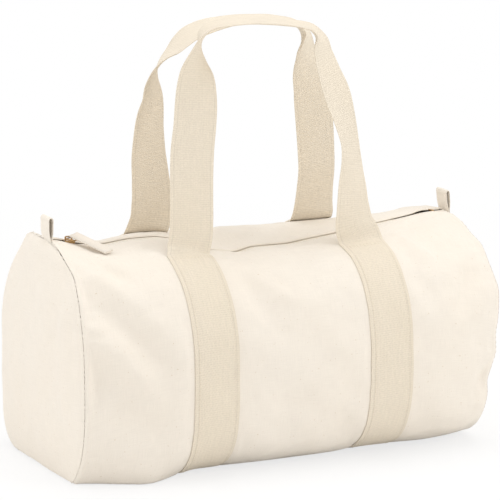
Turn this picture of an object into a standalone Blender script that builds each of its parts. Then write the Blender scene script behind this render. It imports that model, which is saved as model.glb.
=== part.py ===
"""Canvas barrel bag with a top zip, two sewn webbing straps and two standing webbing handles.

Metres, +Z up. X runs along the bag, -Y is its front. The origin is the middle of the
footprint, on the surface that the bag stands on.
"""
import math

import bmesh
import bpy
from mathutils import Matrix, Vector

# Body: one canvas panel wrapped round, seam to seam, and two round end panels
BODY_LENGTH = 0.470
BODY_HEIGHT = 0.240
END_WIDTH = 0.246
BELLY_WIDTH = 0.292
WIDEST_HEIGHT = 0.118
END_DIP = 0.042
BELLY_DIP = 0.010
END_DOME = 0.009
CANVAS = 0.0012
SEWING_GAP = 0.0003

# Shape laws of the body's cross-section and of its belly
TOP_POWER = 2.4
END_LOWER_POWER = 2.5
BELLY_LOWER_POWER = 4.0
BELLY_POWER = 5.0

# Mouth: two lips that hinge along straight lines beside the zip
MOUTH_LENGTH = 0.340
HINGE_SPACING = 0.118
LIP_GAP = 0.0005
ZIP_SLOT = 0.011

# Webbing straps sewn round the body
WEBBING_WIDTH = 0.050
WEBBING = 0.0020
STRAP_SPACING = 0.201
STRAP_SETBACK = 0.0015
ROOT_SETBACK = 0.0045

# Handles, the free stretches of the same webbing. Each station is a share of half the straps'
# spacing, a share of the rise, and the turn of the webbing's width from the front in degrees
HANDLE_RISE = 0.234
HANDLE_TOP_SPACING = 0.053
FRONT_HANDLE_SHARES = (
    (-1.000, 0.000, 0), (-1.000, 0.030, 0), (-1.000, 0.060, 0), (-0.945, 0.125, 0),
    (-0.905, 0.200, 3), (-0.861, 0.322, 4), (-0.806, 0.548, 3), (-0.756, 0.726, 13),
    (-0.731, 0.838, 42), (-0.677, 0.929, 68), (-0.527, 0.986, 86), (-0.239, 1.000, 90),
    (0.030, 0.994, 90), (0.348, 0.977, 91), (0.557, 0.947, 100), (0.697, 0.882, 130),
    (0.786, 0.734, 140), (0.910, 0.530, 140), (0.960, 0.340, 144), (0.957, 0.220, 168),
    (0.970, 0.130, 179), (1.000, 0.060, 180), (1.000, 0.030, 180), (1.000, 0.000, 180),
)
REAR_HANDLE_SHARES = (
    (-1.000, 0.000, 0), (-1.000, 0.030, 0), (-1.000, 0.060, 0), (-0.940, 0.125, 1),
    (-0.915, 0.220, 9), (-0.915, 0.361, 22), (-0.945, 0.569, 35), (-0.925, 0.691, 52),
    (-0.816, 0.799, 74), (-0.647, 0.890, 90), (-0.428, 0.947, 96), (-0.149, 0.973, 94),
    (0.149, 0.981, 92), (0.468, 0.973, 92), (0.736, 0.921, 106), (0.796, 0.873, 125),
    (0.851, 0.717, 154), (0.980, 0.478, 169), (1.045, 0.230, 170), (1.035, 0.125, 179),
    (1.000, 0.060, 180), (1.000, 0.030, 180), (1.000, 0.000, 180),
)
GRIP_CHORD_SHARE = 0.97
FLATTEST_HALF_TURN = math.radians(0.5)
ROUNDED_END_SHARES = ((1.0, 0.3), (0.6, 0.8))

# Tab loops of folded canvas at both ends of the zip
TAB_WIDTH = 0.022
TAB_HEIGHT = 0.025
TAB_OPENING = 0.0052

# Zip: tapes, coils, end stops
TAPE_WIDTH = 0.016
TAPE = 0.0006
COIL_WIDTH = 0.0034
COIL_HEIGHT = 0.0020
CHAIN_SPLIT = 0.0020
COIL_END_MARGIN = 0.018
TAPE_END_MARGIN = 0.014
STOP_LENGTH = 0.0030
STOP_OVERHANG = 0.0006
STOP_HEIGHT = 0.0024

# Zip slider with its bail
SLIDER_LENGTH = 0.011
SLIDER_PLATE = 0.0012
SLIDER_FLANGE = 0.0010
SLIDER_NECK = 0.0014
SLIDER_STOP_MARGIN = 0.0010
BAIL_HOLE_LENGTH = 0.0060
BAIL_HOLE_HEIGHT = 0.0032
BAIL_WALL = 0.0010
BAIL_WIDTH = 0.0026
PIVOT_DROP = 0.0013

# Pull ring and twill puller tape
RING_WIRE = 0.0014
RING_WIDTH = 0.0104
RING_LENGTH = 0.011
RING_CORNER = 0.0020
PULLER_WIDTH = 0.008
PULLER_LENGTH = 0.043
PULLER = 0.0024
PULLER_EYE_WALL = 0.0012
PULLER_TURN = math.radians(54)
PULLER_DROOP = math.radians(5.3)

# Seam binding inside both ends
BINDING_WIDTH = 0.012
BINDING = 0.0010

# Counts of facets
LIP_STEPS = 3
SIDE_STEPS = 16
BOTTOM_STEPS = 2
MIDDLE_STEPS = 2
END_STEPS = 3
DOME_SHARES = (1.0, 0.88, 0.66, 0.40, 0.16)
HANDLE_STEPS = 56
HANDLE_SAMPLES = 24
GRIP_STEPS = 6
TAB_STEPS = 20
RING_CORNER_STEPS = 4
EYE_STEPS = 16
CURL_SEARCH_STEPS = 40
SMOOTH_ANGLE = math.radians(40)

# Colours, linear, with roughness and metallic value
CANVAS_COLOUR = (0.84, 0.76, 0.66)
WEBBING_COLOUR = (0.78, 0.69, 0.57)
TAPE_COLOUR = (0.80, 0.73, 0.63)
COIL_COLOUR = (0.76, 0.70, 0.62)
BRASS_COLOUR = (0.60, 0.36, 0.18)
CLOTH_ROUGHNESS = 0.9
COIL_ROUGHNESS = 0.5
BRASS_ROUGHNESS = 0.3

# Sizes worked out from those above
HALF_LENGTH = BODY_LENGTH / 2
FLOOR_RISE = SEWING_GAP + WEBBING
HALF_MOUTH = MOUTH_LENGTH / 2
HALF_HINGE = HINGE_SPACING / 2
HALF_SLOT = ZIP_SLOT / 2
HALF_WEBBING = WEBBING_WIDTH / 2
HALF_STRAPS = STRAP_SPACING / 2
HALF_SPLIT = CHAIN_SPLIT / 2
TAPE_TOP = -CANVAS - SEWING_GAP
TAPE_BOTTOM = TAPE_TOP - TAPE
COIL_BOTTOM = TAPE_TOP + SEWING_GAP
COIL_TOP = COIL_BOTTOM + COIL_HEIGHT
COIL_END = HALF_LENGTH - COIL_END_MARGIN
TAPE_END = HALF_LENGTH - TAPE_END_MARGIN
SLIDER_REST = COIL_END - COIL_WIDTH + HALF_SPLIT - SLIDER_STOP_MARGIN - SLIDER_LENGTH / 2
SLIDER_TOP = COIL_TOP + SEWING_GAP + SLIDER_PLATE
PIVOT_HEIGHT = SLIDER_TOP + BAIL_HOLE_HEIGHT - PIVOT_DROP


def clear_scene():
    """Remove every object."""
    for item in list(bpy.data.objects):
        bpy.data.objects.remove(item, do_unlink=True)


def make_material(name, colour, roughness, metallic=0.0):
    """A Principled material under the part's own name."""
    material = bpy.data.materials.new(name)
    material.use_nodes = True
    shader = material.node_tree.nodes["Principled BSDF"]
    shader.inputs["Base Color"].default_value = (*colour, 1.0)
    shader.inputs["Roughness"].default_value = roughness
    shader.inputs["Metallic"].default_value = metallic
    return material


def cloth(name, colour):
    """Material of a woven part."""
    return make_material(name, colour, CLOTH_ROUGHNESS)


def brass(name):
    """Material of a metal part."""
    return make_material(name, BRASS_COLOUR, BRASS_ROUGHNESS, 1.0)


def add_object(name, mesh, material):
    """Link a mesh to the scene as the part called name."""
    item = bpy.data.objects.new(name, mesh)
    mesh.materials.append(material)
    bpy.context.scene.collection.objects.link(item)
    return item


def finish_mesh(name, bm, smooth=True):
    """Turn a bmesh into a mesh whose faces point out."""
    bmesh.ops.recalc_face_normals(bm, faces=bm.faces)
    mesh = bpy.data.meshes.new(name)
    bm.to_mesh(mesh)
    bm.free()
    if smooth:
        mesh.shade_smooth()
        mesh.set_sharp_from_angle(angle=SMOOTH_ANGLE)
    return mesh


def move_origin(item, pivot):
    """Put the object's origin on its joint, with the shape where it was."""
    item.data.transform(Matrix.Translation(-pivot))
    item.location = pivot


def ease(value):
    """Smooth step from 0 to 1."""
    value = min(max(value, 0.0), 1.0)
    return value * value * (3 - 2 * value)


def along_belly(x, end_value, belly_value):
    """Value at x of a size that swells from the end seams to the belly."""
    swell = 1 - min(abs(x) / HALF_LENGTH, 1.0) ** BELLY_POWER
    return end_value + (belly_value - end_value) * swell


def half_width(x):
    """Half the body's width at x."""
    return along_belly(x, END_WIDTH, BELLY_WIDTH) / 2


def section_point(x, angle):
    """Distance from the middle plane and height of the canvas, angle from the top."""
    upper = angle <= math.pi / 2
    power = TOP_POWER if upper else along_belly(x, END_LOWER_POWER, BELLY_LOWER_POWER)
    across = half_width(x) * math.sin(angle) ** (2 / power)
    lift = abs(math.cos(angle)) ** (2 / power)
    if upper:
        return across, WIDEST_HEIGHT + (BODY_HEIGHT - WIDEST_HEIGHT) * lift
    dip = along_belly(x, END_DIP, BELLY_DIP)
    return across, WIDEST_HEIGHT - (WIDEST_HEIGHT + dip) * lift


def angle_at_width(x, across):
    """Angle at which the upper half of the section is this far from the middle plane."""
    return math.asin((across / half_width(x)) ** (TOP_POWER / 2))


def angle_at_floor(x):
    """Angle at which the section meets the flat bottom."""
    dip = along_belly(x, END_DIP, BELLY_DIP)
    power = along_belly(x, END_LOWER_POWER, BELLY_LOWER_POWER)
    share = (WIDEST_HEIGHT - FLOOR_RISE) / (WIDEST_HEIGHT + dip)
    return math.pi - math.acos(share ** (power / 2))


def half_section(x):
    """Points of the canvas from the top middle down to the bottom middle."""
    points = [(0.0, BODY_HEIGHT)]
    lip_edge = HALF_HINGE - LIP_GAP / 2
    for step in range(LIP_STEPS + 1):
        across = HALF_SLOT + (lip_edge - HALF_SLOT) * step / LIP_STEPS
        points.append(section_point(x, angle_at_width(x, across)))
    panel_edge = HALF_HINGE + LIP_GAP / 2
    for across in (panel_edge, panel_edge + STRAP_SETBACK):
        points.append(section_point(x, angle_at_width(x, across)))
    first = angle_at_width(x, panel_edge + STRAP_SETBACK)
    last = angle_at_floor(x)
    for step in range(1, SIDE_STEPS):
        points.append(section_point(x, first + (last - first) * step / SIDE_STEPS))
    corner = section_point(x, last)[0]
    for step in range(BOTTOM_STEPS + 1):
        points.append((corner * (1 - step / BOTTOM_STEPS), FLOOR_RISE))
    return points


LAST_LIP_POINT = 1 + LIP_STEPS
STRAP_POINT = LAST_LIP_POINT + 2
HALF_COUNT = STRAP_POINT + SIDE_STEPS + BOTTOM_STEPS


def closed_section(x):
    """The whole closed section, from the top middle round the front, bottom and back."""
    half = half_section(x)
    front = [Vector((-across, height)) for across, height in half]
    rear = [Vector((across, height)) for across, height in half[-2:0:-1]]
    return front + rear


def offset_section(points, distance):
    """Closed section moved outwards by distance, with mitred corners."""
    moved = []
    count = len(points)
    for index, point in enumerate(points):
        before = (point - points[index - 1]).normalized()
        after = (points[(index + 1) % count] - point).normalized()
        normal_before = Vector((before.y, -before.x))
        normal_after = Vector((after.y, -after.x))
        mitre = (normal_before + normal_after) / (1 + normal_before.dot(normal_after))
        moved.append(point + mitre * distance)
    return moved


def section_row(x, distance):
    """Closed section at x in space, moved outwards by distance."""
    return [Vector((x, p.x, p.y)) for p in offset_section(closed_section(x), distance)]


def top_height(x, y, distance):
    """Height over y of the section near the zip, moved outwards by distance."""
    row = offset_section(closed_section(x), distance)
    for inner, outer in zip(row, row[1:STRAP_POINT]):
        if abs(y) <= -outer.x:
            share = (abs(y) + inner.x) / (inner.x - outer.x)
            return inner.y + (outer.y - inner.y) * share
    return row[STRAP_POINT].y


def shell_mesh(name, outer_rows, inner_rows, keep=None, ring=False):
    """Closed solid between two grids of points: the kept cells, with walls at their rims."""
    bm = bmesh.new()
    outer = [[bm.verts.new(p) for p in row] for row in outer_rows]
    inner = [[bm.verts.new(p) for p in row] for row in inner_rows]
    columns = len(outer_rows[0])
    spans = columns if ring else columns - 1
    kept = set()
    for i in range(len(outer_rows) - 1):
        for j in range(spans):
            if keep is None or keep(i, j):
                kept.add((i, j))
    for i, j in kept:
        k = (j + 1) % columns
        bm.faces.new((outer[i][j], outer[i + 1][j], outer[i + 1][k], outer[i][k]))
        bm.faces.new((inner[i][j], inner[i][k], inner[i + 1][k], inner[i + 1][j]))
        sides = (
            ((i - 1, j), (i, j), (i, k)),
            ((i + 1, j), (i + 1, j), (i + 1, k)),
            ((i, (j - 1) % columns if ring else j - 1), (i, j), (i + 1, j)),
            ((i, (j + 1) % columns if ring else j + 1), (i, k), (i + 1, k)),
        )
        for neighbour, a, b in sides:
            if neighbour not in kept:
                wall = (outer[a[0]][a[1]], outer[b[0]][b[1]], inner[b[0]][b[1]], inner[a[0]][a[1]])
                bm.faces.new(wall)
    loose = [vert for vert in bm.verts if not vert.link_faces]
    bmesh.ops.delete(bm, geom=loose, context="VERTS")
    return finish_mesh(name, bm, ring)


def spread(first, last, steps):
    """Evenly spaced values from first to last, both kept."""
    return [first + (last - first) * step / steps for step in range(steps + 1)]


def panel_stations():
    """Places along X of the canvas grid, which the straps share."""
    mouth_out = HALF_MOUTH + LIP_GAP / 2
    mouth_in = HALF_MOUTH - LIP_GAP / 2
    strap_in = HALF_STRAPS - HALF_WEBBING
    strap_out = HALF_STRAPS + HALF_WEBBING
    right = spread(0.0, strap_in, MIDDLE_STEPS) + [HALF_STRAPS, strap_out, mouth_in]
    right += spread(mouth_out, HALF_LENGTH - BINDING_WIDTH, END_STEPS) + [HALF_LENGTH]
    return [-x for x in right[:0:-1]] + right


def canvas_grids():
    """Outer and inner points of the canvas along the whole body."""
    stations = panel_stations()
    outer = [section_row(x, 0.0) for x in stations]
    inner = [section_row(x, -CANVAS) for x in stations]
    return stations, outer, inner


def front_column(j):
    """Column of the front half that mirrors column j."""
    return min(j, 2 * HALF_COUNT - 1 - j)


def make_panels():
    """The wrapped panel, open along the zip, and the two lips of its mouth."""
    stations, outer, inner = canvas_grids()

    def in_mouth(i):
        return abs(stations[i] + stations[i + 1]) / 2 < HALF_MOUTH

    def in_lip(i):
        return max(abs(stations[i]), abs(stations[i + 1])) < HALF_MOUTH

    def panel_cell(i, j):
        column = front_column(j)
        if column < 1:
            return False
        return column > LAST_LIP_POINT or not in_mouth(i)

    def front_lip_cell(i, j):
        return in_lip(i) and 1 <= j < LAST_LIP_POINT

    def rear_lip_cell(i, j):
        return in_lip(i) and 1 <= 2 * HALF_COUNT - 1 - j < LAST_LIP_POINT

    mesh = shell_mesh("main_panel", outer, inner, panel_cell, True)
    add_object("main_panel", mesh, cloth("main_panel", CANVAS_COLOUR))
    for name, cell, side in (("front_lip", front_lip_cell, -1), ("rear_lip", rear_lip_cell, 1)):
        mesh = shell_mesh(name, outer, inner, cell, True)
        lip = add_object(name, mesh, cloth(name, CANVAS_COLOUR))
        move_origin(lip, lip_pivot(side))


def lip_pivot(side):
    """Point on a lip's hinge line, on the outside of the canvas."""
    y = side * HALF_HINGE
    return Vector((0.0, y, top_height(0.0, y, 0.0)))


def make_end_panel(name, side):
    """Softly domed round panel with a flat foot, closing one end of the body."""
    rim = offset_section(closed_section(HALF_LENGTH), 0.0)
    middle = Vector((0.0, (BODY_HEIGHT + FLOOR_RISE) / 2))
    outer_rows = []
    inner_rows = []
    for share in DOME_SHARES:
        bulge = END_DOME * (1 - share * share)
        row = [middle + (point - middle) * share for point in rim]
        inner_x = side * (HALF_LENGTH + SEWING_GAP + bulge)
        outer_x = inner_x + side * CANVAS
        outer_rows.append([Vector((outer_x, p.x, p.y)) for p in row])
        inner_rows.append([Vector((inner_x, p.x, p.y)) for p in row])
    bm = bmesh.new()
    for rows in (outer_rows, inner_rows):
        rings = [[bm.verts.new(p) for p in row] for row in rows]
        for ring, following in zip(rings, rings[1:]):
            for j in range(len(ring)):
                k = (j + 1) % len(ring)
                bm.faces.new((ring[j], ring[k], following[k], following[j]))
        bm.faces.new(rings[-1])
        if rows is outer_rows:
            outer_rim = rings[0]
        else:
            inner_rim = rings[0]
    for j in range(len(outer_rim)):
        k = (j + 1) % len(outer_rim)
        bm.faces.new((outer_rim[j], outer_rim[k], inner_rim[k], inner_rim[j]))
    mesh = finish_mesh(name, bm)
    add_object(name, mesh, cloth(name, CANVAS_COLOUR))


def make_seam_binding(name, side):
    """Woven band round the inside of an end seam."""
    outward = -CANVAS - SEWING_GAP
    stations = [side * HALF_LENGTH, side * (HALF_LENGTH - BINDING_WIDTH)]
    bm = bmesh.new()
    loops = []
    for x in stations:
        for distance in (outward, outward - BINDING):
            loops.append([bm.verts.new(p) for p in section_row(x, distance)])
    order = (loops[0], loops[1], loops[3], loops[2])
    for current, following in zip(order, order[1:] + order[:1]):
        for j in range(len(current)):
            k = (j + 1) % len(current)
            bm.faces.new((current[j], current[k], following[k], following[j]))
    mesh = finish_mesh(name, bm)
    add_object(name, mesh, cloth(name, TAPE_COLOUR))


def make_body_strap(name, side):
    """Webbing sewn round the body, from the front root under the bottom to the rear root."""
    middle = side * HALF_STRAPS
    stations = [middle - HALF_WEBBING, middle, middle + HALF_WEBBING]
    outer = [section_row(x, SEWING_GAP + WEBBING) for x in stations]
    inner = [section_row(x, SEWING_GAP) for x in stations]

    def strap_cell(i, j):
        return front_column(j) >= STRAP_POINT

    mesh = shell_mesh(name, outer, inner, strap_cell, True)
    add_object(name, mesh, cloth(name, WEBBING_COLOUR))


def handle_pivot(side):
    """Middle of a handle's fold line, on top of the upper ends of the sewn straps."""
    across = HALF_HINGE + LIP_GAP / 2 + STRAP_SETBACK + ROOT_SETBACK
    rise = 2 * SEWING_GAP + WEBBING * 3 / 2
    angle = angle_at_width(HALF_STRAPS, across)
    y, z = section_point(HALF_STRAPS, angle)
    ahead = section_point(HALF_STRAPS, angle_at_width(HALF_STRAPS, across + WEBBING))
    slope = math.atan2(z - ahead[1], ahead[0] - y)
    return Vector((0.0, side * (y + rise * math.sin(slope)), z + rise * math.cos(slope)))


def handle_samples(stations):
    """Handle's middle line through its stations: run so far, place in its own plane, and turn."""
    samples = []
    run = 0.0
    previous = None
    last = len(stations) - 1
    places = [
        Vector((HALF_STRAPS * across, HANDLE_RISE * rise, math.radians(turn)))
        for across, rise, turn in stations
    ]
    for k in range(last):
        before, start, end, after = (places[min(max(k + n, 0), last)] for n in (-1, 0, 1, 2))
        leave, arrive = (end - before) / 2, (after - start) / 2
        for step in range(HANDLE_SAMPLES):
            t = step / HANDLE_SAMPLES
            eased = ease(t)
            point = start.lerp(end, eased)
            point += leave * t * (1 - t) ** 2 - arrive * t**2 * (1 - t)
            if previous is not None:
                run += (point.xy - previous.xy).length
            samples.append((run, point))
            previous = point
    run += (places[last].xy - previous.xy).length
    samples.append((run, places[last]))
    return samples


def handle_point(samples, run):
    """Place and turn of the handle's middle line after this run of webbing."""
    for (low, start), (high, end) in zip(samples, samples[1:]):
        if run <= high:
            return start.lerp(end, (run - low) / (high - low))
    return samples[-1][1]


def curl(chord_share):
    """Radius and turns of the webbing's cross-section when its chord has this share of its width."""
    low = FLATTEST_HALF_TURN
    high = math.pi / 2
    for _ in range(CURL_SEARCH_STEPS):
        half_turn = (low + high) / 2
        if math.sin(half_turn) / half_turn > chord_share:
            low = half_turn
        else:
            high = half_turn
    return HALF_WEBBING / half_turn, spread(-half_turn, half_turn, GRIP_STEPS)


def make_handle(name, side, stations):
    """Free webbing loop: flat legs that turn and curl into the grip at the top."""
    pivot = handle_pivot(side)
    lean = math.asin((abs(pivot.y) - HANDLE_TOP_SPACING / 2) / HANDLE_RISE)
    up = Vector((0.0, -side * math.sin(lean), math.cos(lean)))
    across = Vector((1.0, 0.0, 0.0))
    depth = Vector((0.0, 1.0, 0.0))
    samples = handle_samples(stations)
    total = samples[-1][0]
    step_run = total / HANDLE_STEPS
    rings = []

    def add_ring(run, drop, thickness_share):
        place = handle_point(samples, run)
        ahead = handle_point(samples, min(run + step_run / 2, total))
        behind = handle_point(samples, max(run - step_run / 2, 0.0))
        along = (ahead.xy - behind.xy).normalized()
        tangent = across * along.x + up * along.y
        inward = across * along.y - up * along.x
        wide = inward * math.cos(place.z) + depth * math.sin(place.z)
        wide = (wide - tangent * wide.dot(tangent)).normalized()
        turned = math.sin(place.z) ** 2
        face = tangent.cross(wide)
        centre = pivot + across * place.x + up * (place.y - drop)
        half_thickness = WEBBING / 2 * thickness_share
        radius, bends = curl(1 - (1 - GRIP_CHORD_SHARE) * turned)
        ring = []
        for sign in (1, -1):
            for bend in bends[::sign]:
                reach = radius + sign * half_thickness
                lift = reach * math.cos(bend) - radius
                ring.append(centre + wide * reach * math.sin(bend) + face * lift)
        rings.append(ring)

    for drop_share, thickness_share in ROUNDED_END_SHARES:
        add_ring(0.0, WEBBING / 2 * drop_share, thickness_share)
    for step in range(HANDLE_STEPS + 1):
        add_ring(step_run * step, 0.0, 1.0)
    for drop_share, thickness_share in ROUNDED_END_SHARES[::-1]:
        add_ring(total, WEBBING / 2 * drop_share, thickness_share)

    bm = bmesh.new()
    loops = [[bm.verts.new(p) for p in ring] for ring in rings]
    count = len(loops[0])
    for current, following in zip(loops, loops[1:]):
        for j in range(count):
            k = (j + 1) % count
            bm.faces.new((current[j], current[k], following[k], following[j]))
    for loop in (loops[0], loops[-1]):
        for j in range(GRIP_STEPS):
            bm.faces.new((loop[j], loop[j + 1], loop[-2 - j], loop[-1 - j]))
    mesh = finish_mesh(name, bm)
    handle = add_object(name, mesh, cloth(name, WEBBING_COLOUR))
    move_origin(handle, pivot)


def extrude_profile(name, rings, depth, axis):
    """Prism of a closed profile, or of the band between two, centred along an axis."""
    bm = bmesh.new()
    ends = []
    for sign in (-1, 1):
        shift = axis * sign * depth / 2
        ends.append([[bm.verts.new(p + shift) for p in ring] for ring in rings])
    for ring_index in range(len(rings)):
        low = ends[0][ring_index]
        high = ends[1][ring_index]
        for j in range(len(low)):
            k = (j + 1) % len(low)
            bm.faces.new((low[j], low[k], high[k], high[j]))
    for end in ends:
        if len(end) == 1:
            bm.faces.new(end[0])
            continue
        for j in range(len(end[0])):
            k = (j + 1) % len(end[0])
            bm.faces.new((end[0][j], end[0][k], end[1][k], end[1][j]))
    return finish_mesh(name, bm)


def make_tab_loop(name, side):
    """Folded canvas loop standing on the top of an end seam."""
    half_height = TAB_HEIGHT / 2
    half_depth = TAB_OPENING / 2 + CANVAS
    middle = Vector((side * HALF_LENGTH, 0.0, BODY_HEIGHT + SEWING_GAP + half_height))
    rings = []
    for inset in (0.0, CANVAS):
        ring = []
        for step in range(TAB_STEPS):
            turn = 2 * math.pi * step / TAB_STEPS
            across = (half_depth - inset) * math.sin(turn)
            ring.append(middle + Vector((across, 0.0, (half_height - inset) * math.cos(turn))))
        rings.append(ring)
    mesh = extrude_profile(name, rings, TAB_WIDTH, Vector((0.0, 1.0, 0.0)))
    add_object(name, mesh, cloth(name, CANVAS_COLOUR))


def top_strip(name, stations, widths, low, high, material, keep=None):
    """Flat strip that follows the body under or over the zip, between two levels."""
    upper = [[Vector((x, y, top_height(x, y, 0.0) + high)) for y in widths] for x in stations]
    lower = [[Vector((x, y, top_height(x, y, 0.0) + low)) for y in widths] for x in stations]
    return add_object(name, shell_mesh(name, upper, lower, keep), material)


def make_zip_sides():
    """Tape and coil of each lip, which swing with it."""
    near = HALF_MOUTH - LIP_GAP / 2
    stations = [-near, near]
    for side, word in ((-1, "front"), (1, "rear")):
        tape_name = word + "_zip_tape"
        widths = [side * y for y in (HALF_SPLIT, HALF_SLOT, HALF_SPLIT + TAPE_WIDTH)]
        tape_material = cloth(tape_name, TAPE_COLOUR)
        tape = top_strip(tape_name, stations, widths, TAPE_BOTTOM, TAPE_TOP, tape_material)
        coil_name = word + "_zip_coil"
        widths = [side * y for y in (HALF_SPLIT, COIL_WIDTH)]
        coil_material = make_material(coil_name, COIL_COLOUR, COIL_ROUGHNESS)
        coil = top_strip(coil_name, stations, widths, COIL_BOTTOM, COIL_TOP, coil_material)
        for item in (tape, coil):
            move_origin(item, lip_pivot(side))


def make_zip_ends():
    """Tape, coil and stop at each closed end of the zip, sewn to the body."""
    near = HALF_MOUTH + LIP_GAP / 2

    def open_middle(i, j):
        return i == 0 or j != middle_column

    for side, word in ((-1, "left"), (1, "right")):
        tape_name = word + "_zip_tape"
        half = [HALF_SPLIT, HALF_SLOT, HALF_SPLIT + TAPE_WIDTH]
        widths = [-y for y in half[::-1]] + half
        middle_column = len(half) - 1
        stations = [side * x for x in (TAPE_END, COIL_END, near)]
        top_strip(tape_name, stations, widths, TAPE_BOTTOM, TAPE_TOP,
                  cloth(tape_name, TAPE_COLOUR), open_middle)
        coil_name = word + "_zip_coil"
        half = [HALF_SPLIT, COIL_WIDTH]
        widths = [-y for y in half[::-1]] + half
        middle_column = len(half) - 1
        bridge = COIL_END - COIL_WIDTH + HALF_SPLIT
        stations = [side * x for x in (COIL_END, bridge, near)]
        top_strip(coil_name, stations, widths, COIL_BOTTOM, COIL_TOP,
                  make_material(coil_name, COIL_COLOUR, COIL_ROUGHNESS), open_middle)
        stop_name = word + "_zip_stop"
        start = COIL_END + SEWING_GAP
        stations = [side * start, side * (start + STOP_LENGTH)]
        widths = [-COIL_WIDTH - STOP_OVERHANG, COIL_WIDTH + STOP_OVERHANG]
        top_strip(stop_name, stations, widths, COIL_BOTTOM, COIL_BOTTOM + STOP_HEIGHT,
                  brass(stop_name))


def make_slider():
    """Zip slider: two plates joined by a neck, flanges round the coils and a bail on top."""
    plate_low = TAPE_BOTTOM - SEWING_GAP
    plate_high = COIL_TOP + SEWING_GAP
    flange_in = COIL_WIDTH + SEWING_GAP
    half = flange_in + SLIDER_FLANGE
    neck = SLIDER_NECK / 2
    flange_low = TAPE_TOP + SEWING_GAP
    right = [
        (half, SLIDER_TOP), (half, flange_low), (flange_in, flange_low),
        (flange_in, plate_high), (neck, plate_high), (neck, plate_low),
        (half, plate_low), (half, plate_low - SLIDER_PLATE),
    ]
    outline = right + [(-y, z) for y, z in right[::-1]]
    base = Vector((-SLIDER_REST, 0.0, BODY_HEIGHT))
    profile = [base + Vector((0.0, y, z)) for y, z in outline]
    along = Vector((1.0, 0.0, 0.0))
    mesh = extrude_profile("zip_slider", [profile], SLIDER_LENGTH, along)
    slider = add_object("zip_slider", mesh, brass("zip_slider"))

    sunk = SLIDER_TOP - SLIDER_PLATE / 2
    hole_top = SLIDER_TOP + BAIL_HOLE_HEIGHT
    inner = BAIL_HOLE_LENGTH / 2
    outer = inner + BAIL_WALL
    crown = hole_top + BAIL_WALL
    arch = [
        (-outer, sunk), (-outer, hole_top), (-inner, crown), (inner, crown),
        (outer, hole_top), (outer, sunk), (inner, sunk), (inner, hole_top),
        (-inner, hole_top), (-inner, sunk),
    ]
    profile = [base + Vector((x, 0.0, z)) for x, z in arch]
    across = Vector((0.0, 1.0, 0.0))
    mesh = extrude_profile("bail_shape", [profile], BAIL_WIDTH, across)
    bail = add_object("bail_shape", mesh, brass("bail_shape"))
    bail.hide_render = True
    bail.display_type = "WIRE"
    join = slider.modifiers.new("bail", "BOOLEAN")
    join.operation = "UNION"
    join.solver = "EXACT"
    join.object = bail
    move_origin(slider, base)
    return slider


def make_puller(slider):
    """Wire ring through the bail and folded twill tape through the ring."""
    hinge = bpy.data.objects.new("puller_hinge", None)
    bpy.context.scene.collection.objects.link(hinge)
    hinge.parent = slider
    hinge.location = (0.0, 0.0, PIVOT_HEIGHT)
    hinge.rotation_euler = (0.0, PULLER_DROOP, -PULLER_TURN)

    half = (RING_WIDTH - RING_CORNER * 2) / 2
    far = RING_LENGTH - RING_CORNER
    corners = (
        (far, half, 0.0), (RING_CORNER, half, math.pi / 2),
        (RING_CORNER, -half, math.pi), (far, -half, math.pi * 3 / 2),
    )
    curve = bpy.data.curves.new("pull_ring", "CURVE")
    curve.dimensions = "3D"
    curve.bevel_depth = RING_WIRE / 2
    curve.bevel_resolution = 2
    spline = curve.splines.new("POLY")
    points = []
    for x, y, start in corners:
        for step in range(RING_CORNER_STEPS + 1):
            turn = start + math.pi / 2 * step / RING_CORNER_STEPS
            points.append((x + RING_CORNER * math.cos(turn), y + RING_CORNER * math.sin(turn)))
    spline.points.add(len(points) - 1)
    for target, (x, y) in zip(spline.points, points):
        target.co = (x, y, 0.0, 1.0)
    spline.use_cyclic_u = True
    ring = add_object("pull_ring", curve, brass("pull_ring"))
    ring.parent = hinge

    eye = RING_WIRE / 2 + SEWING_GAP
    eye_outer = eye + PULLER_EYE_WALL
    hole = []
    outside = []
    for step in range(EYE_STEPS):
        turn = 2 * math.pi * step / EYE_STEPS
        hole.append(Vector((RING_LENGTH + eye * math.cos(turn), 0.0, eye * math.sin(turn))))
        x = eye_outer * math.cos(turn)
        z = eye_outer * math.sin(turn)
        if x > 0 and abs(z) < eye_outer * math.sin(math.pi / 3):
            x = PULLER_LENGTH if abs(z) < PULLER / 2 else eye_outer * 2
            z = max(-PULLER / 2, min(PULLER / 2, z))
        outside.append(Vector((RING_LENGTH + x, 0.0, z)))
    mesh = extrude_profile("puller_tape", [outside, hole], PULLER_WIDTH, Vector((0.0, 1.0, 0.0)))
    tape = add_object("puller_tape", mesh, cloth("puller_tape", TAPE_COLOUR))
    tape.parent = hinge


def build_bag():
    """Every part of the bag."""
    clear_scene()
    make_panels()
    for word, side in (("left", -1), ("right", 1)):
        make_end_panel(word + "_end_panel", side)
        make_seam_binding(word + "_seam_binding", side)
        make_tab_loop(word + "_tab_loop", side)
        make_body_strap(word + "_body_strap", side)
    make_handle("front_handle", -1, FRONT_HANDLE_SHARES)
    make_handle("rear_handle", 1, REAR_HANDLE_SHARES)
    make_zip_sides()
    make_zip_ends()
    make_puller(make_slider())


build_bag()
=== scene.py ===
"""Cotton canvas barrel bag: the pieces that show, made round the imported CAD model."""

import math
from collections import namedtuple
from functools import cache

import bmesh
import bpy
import numpy as np
from bpy.props import FloatProperty, FloatVectorProperty, PointerProperty
from bpy.types import Operator, Panel, PropertyGroup
from mathutils import Matrix, Vector


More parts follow.
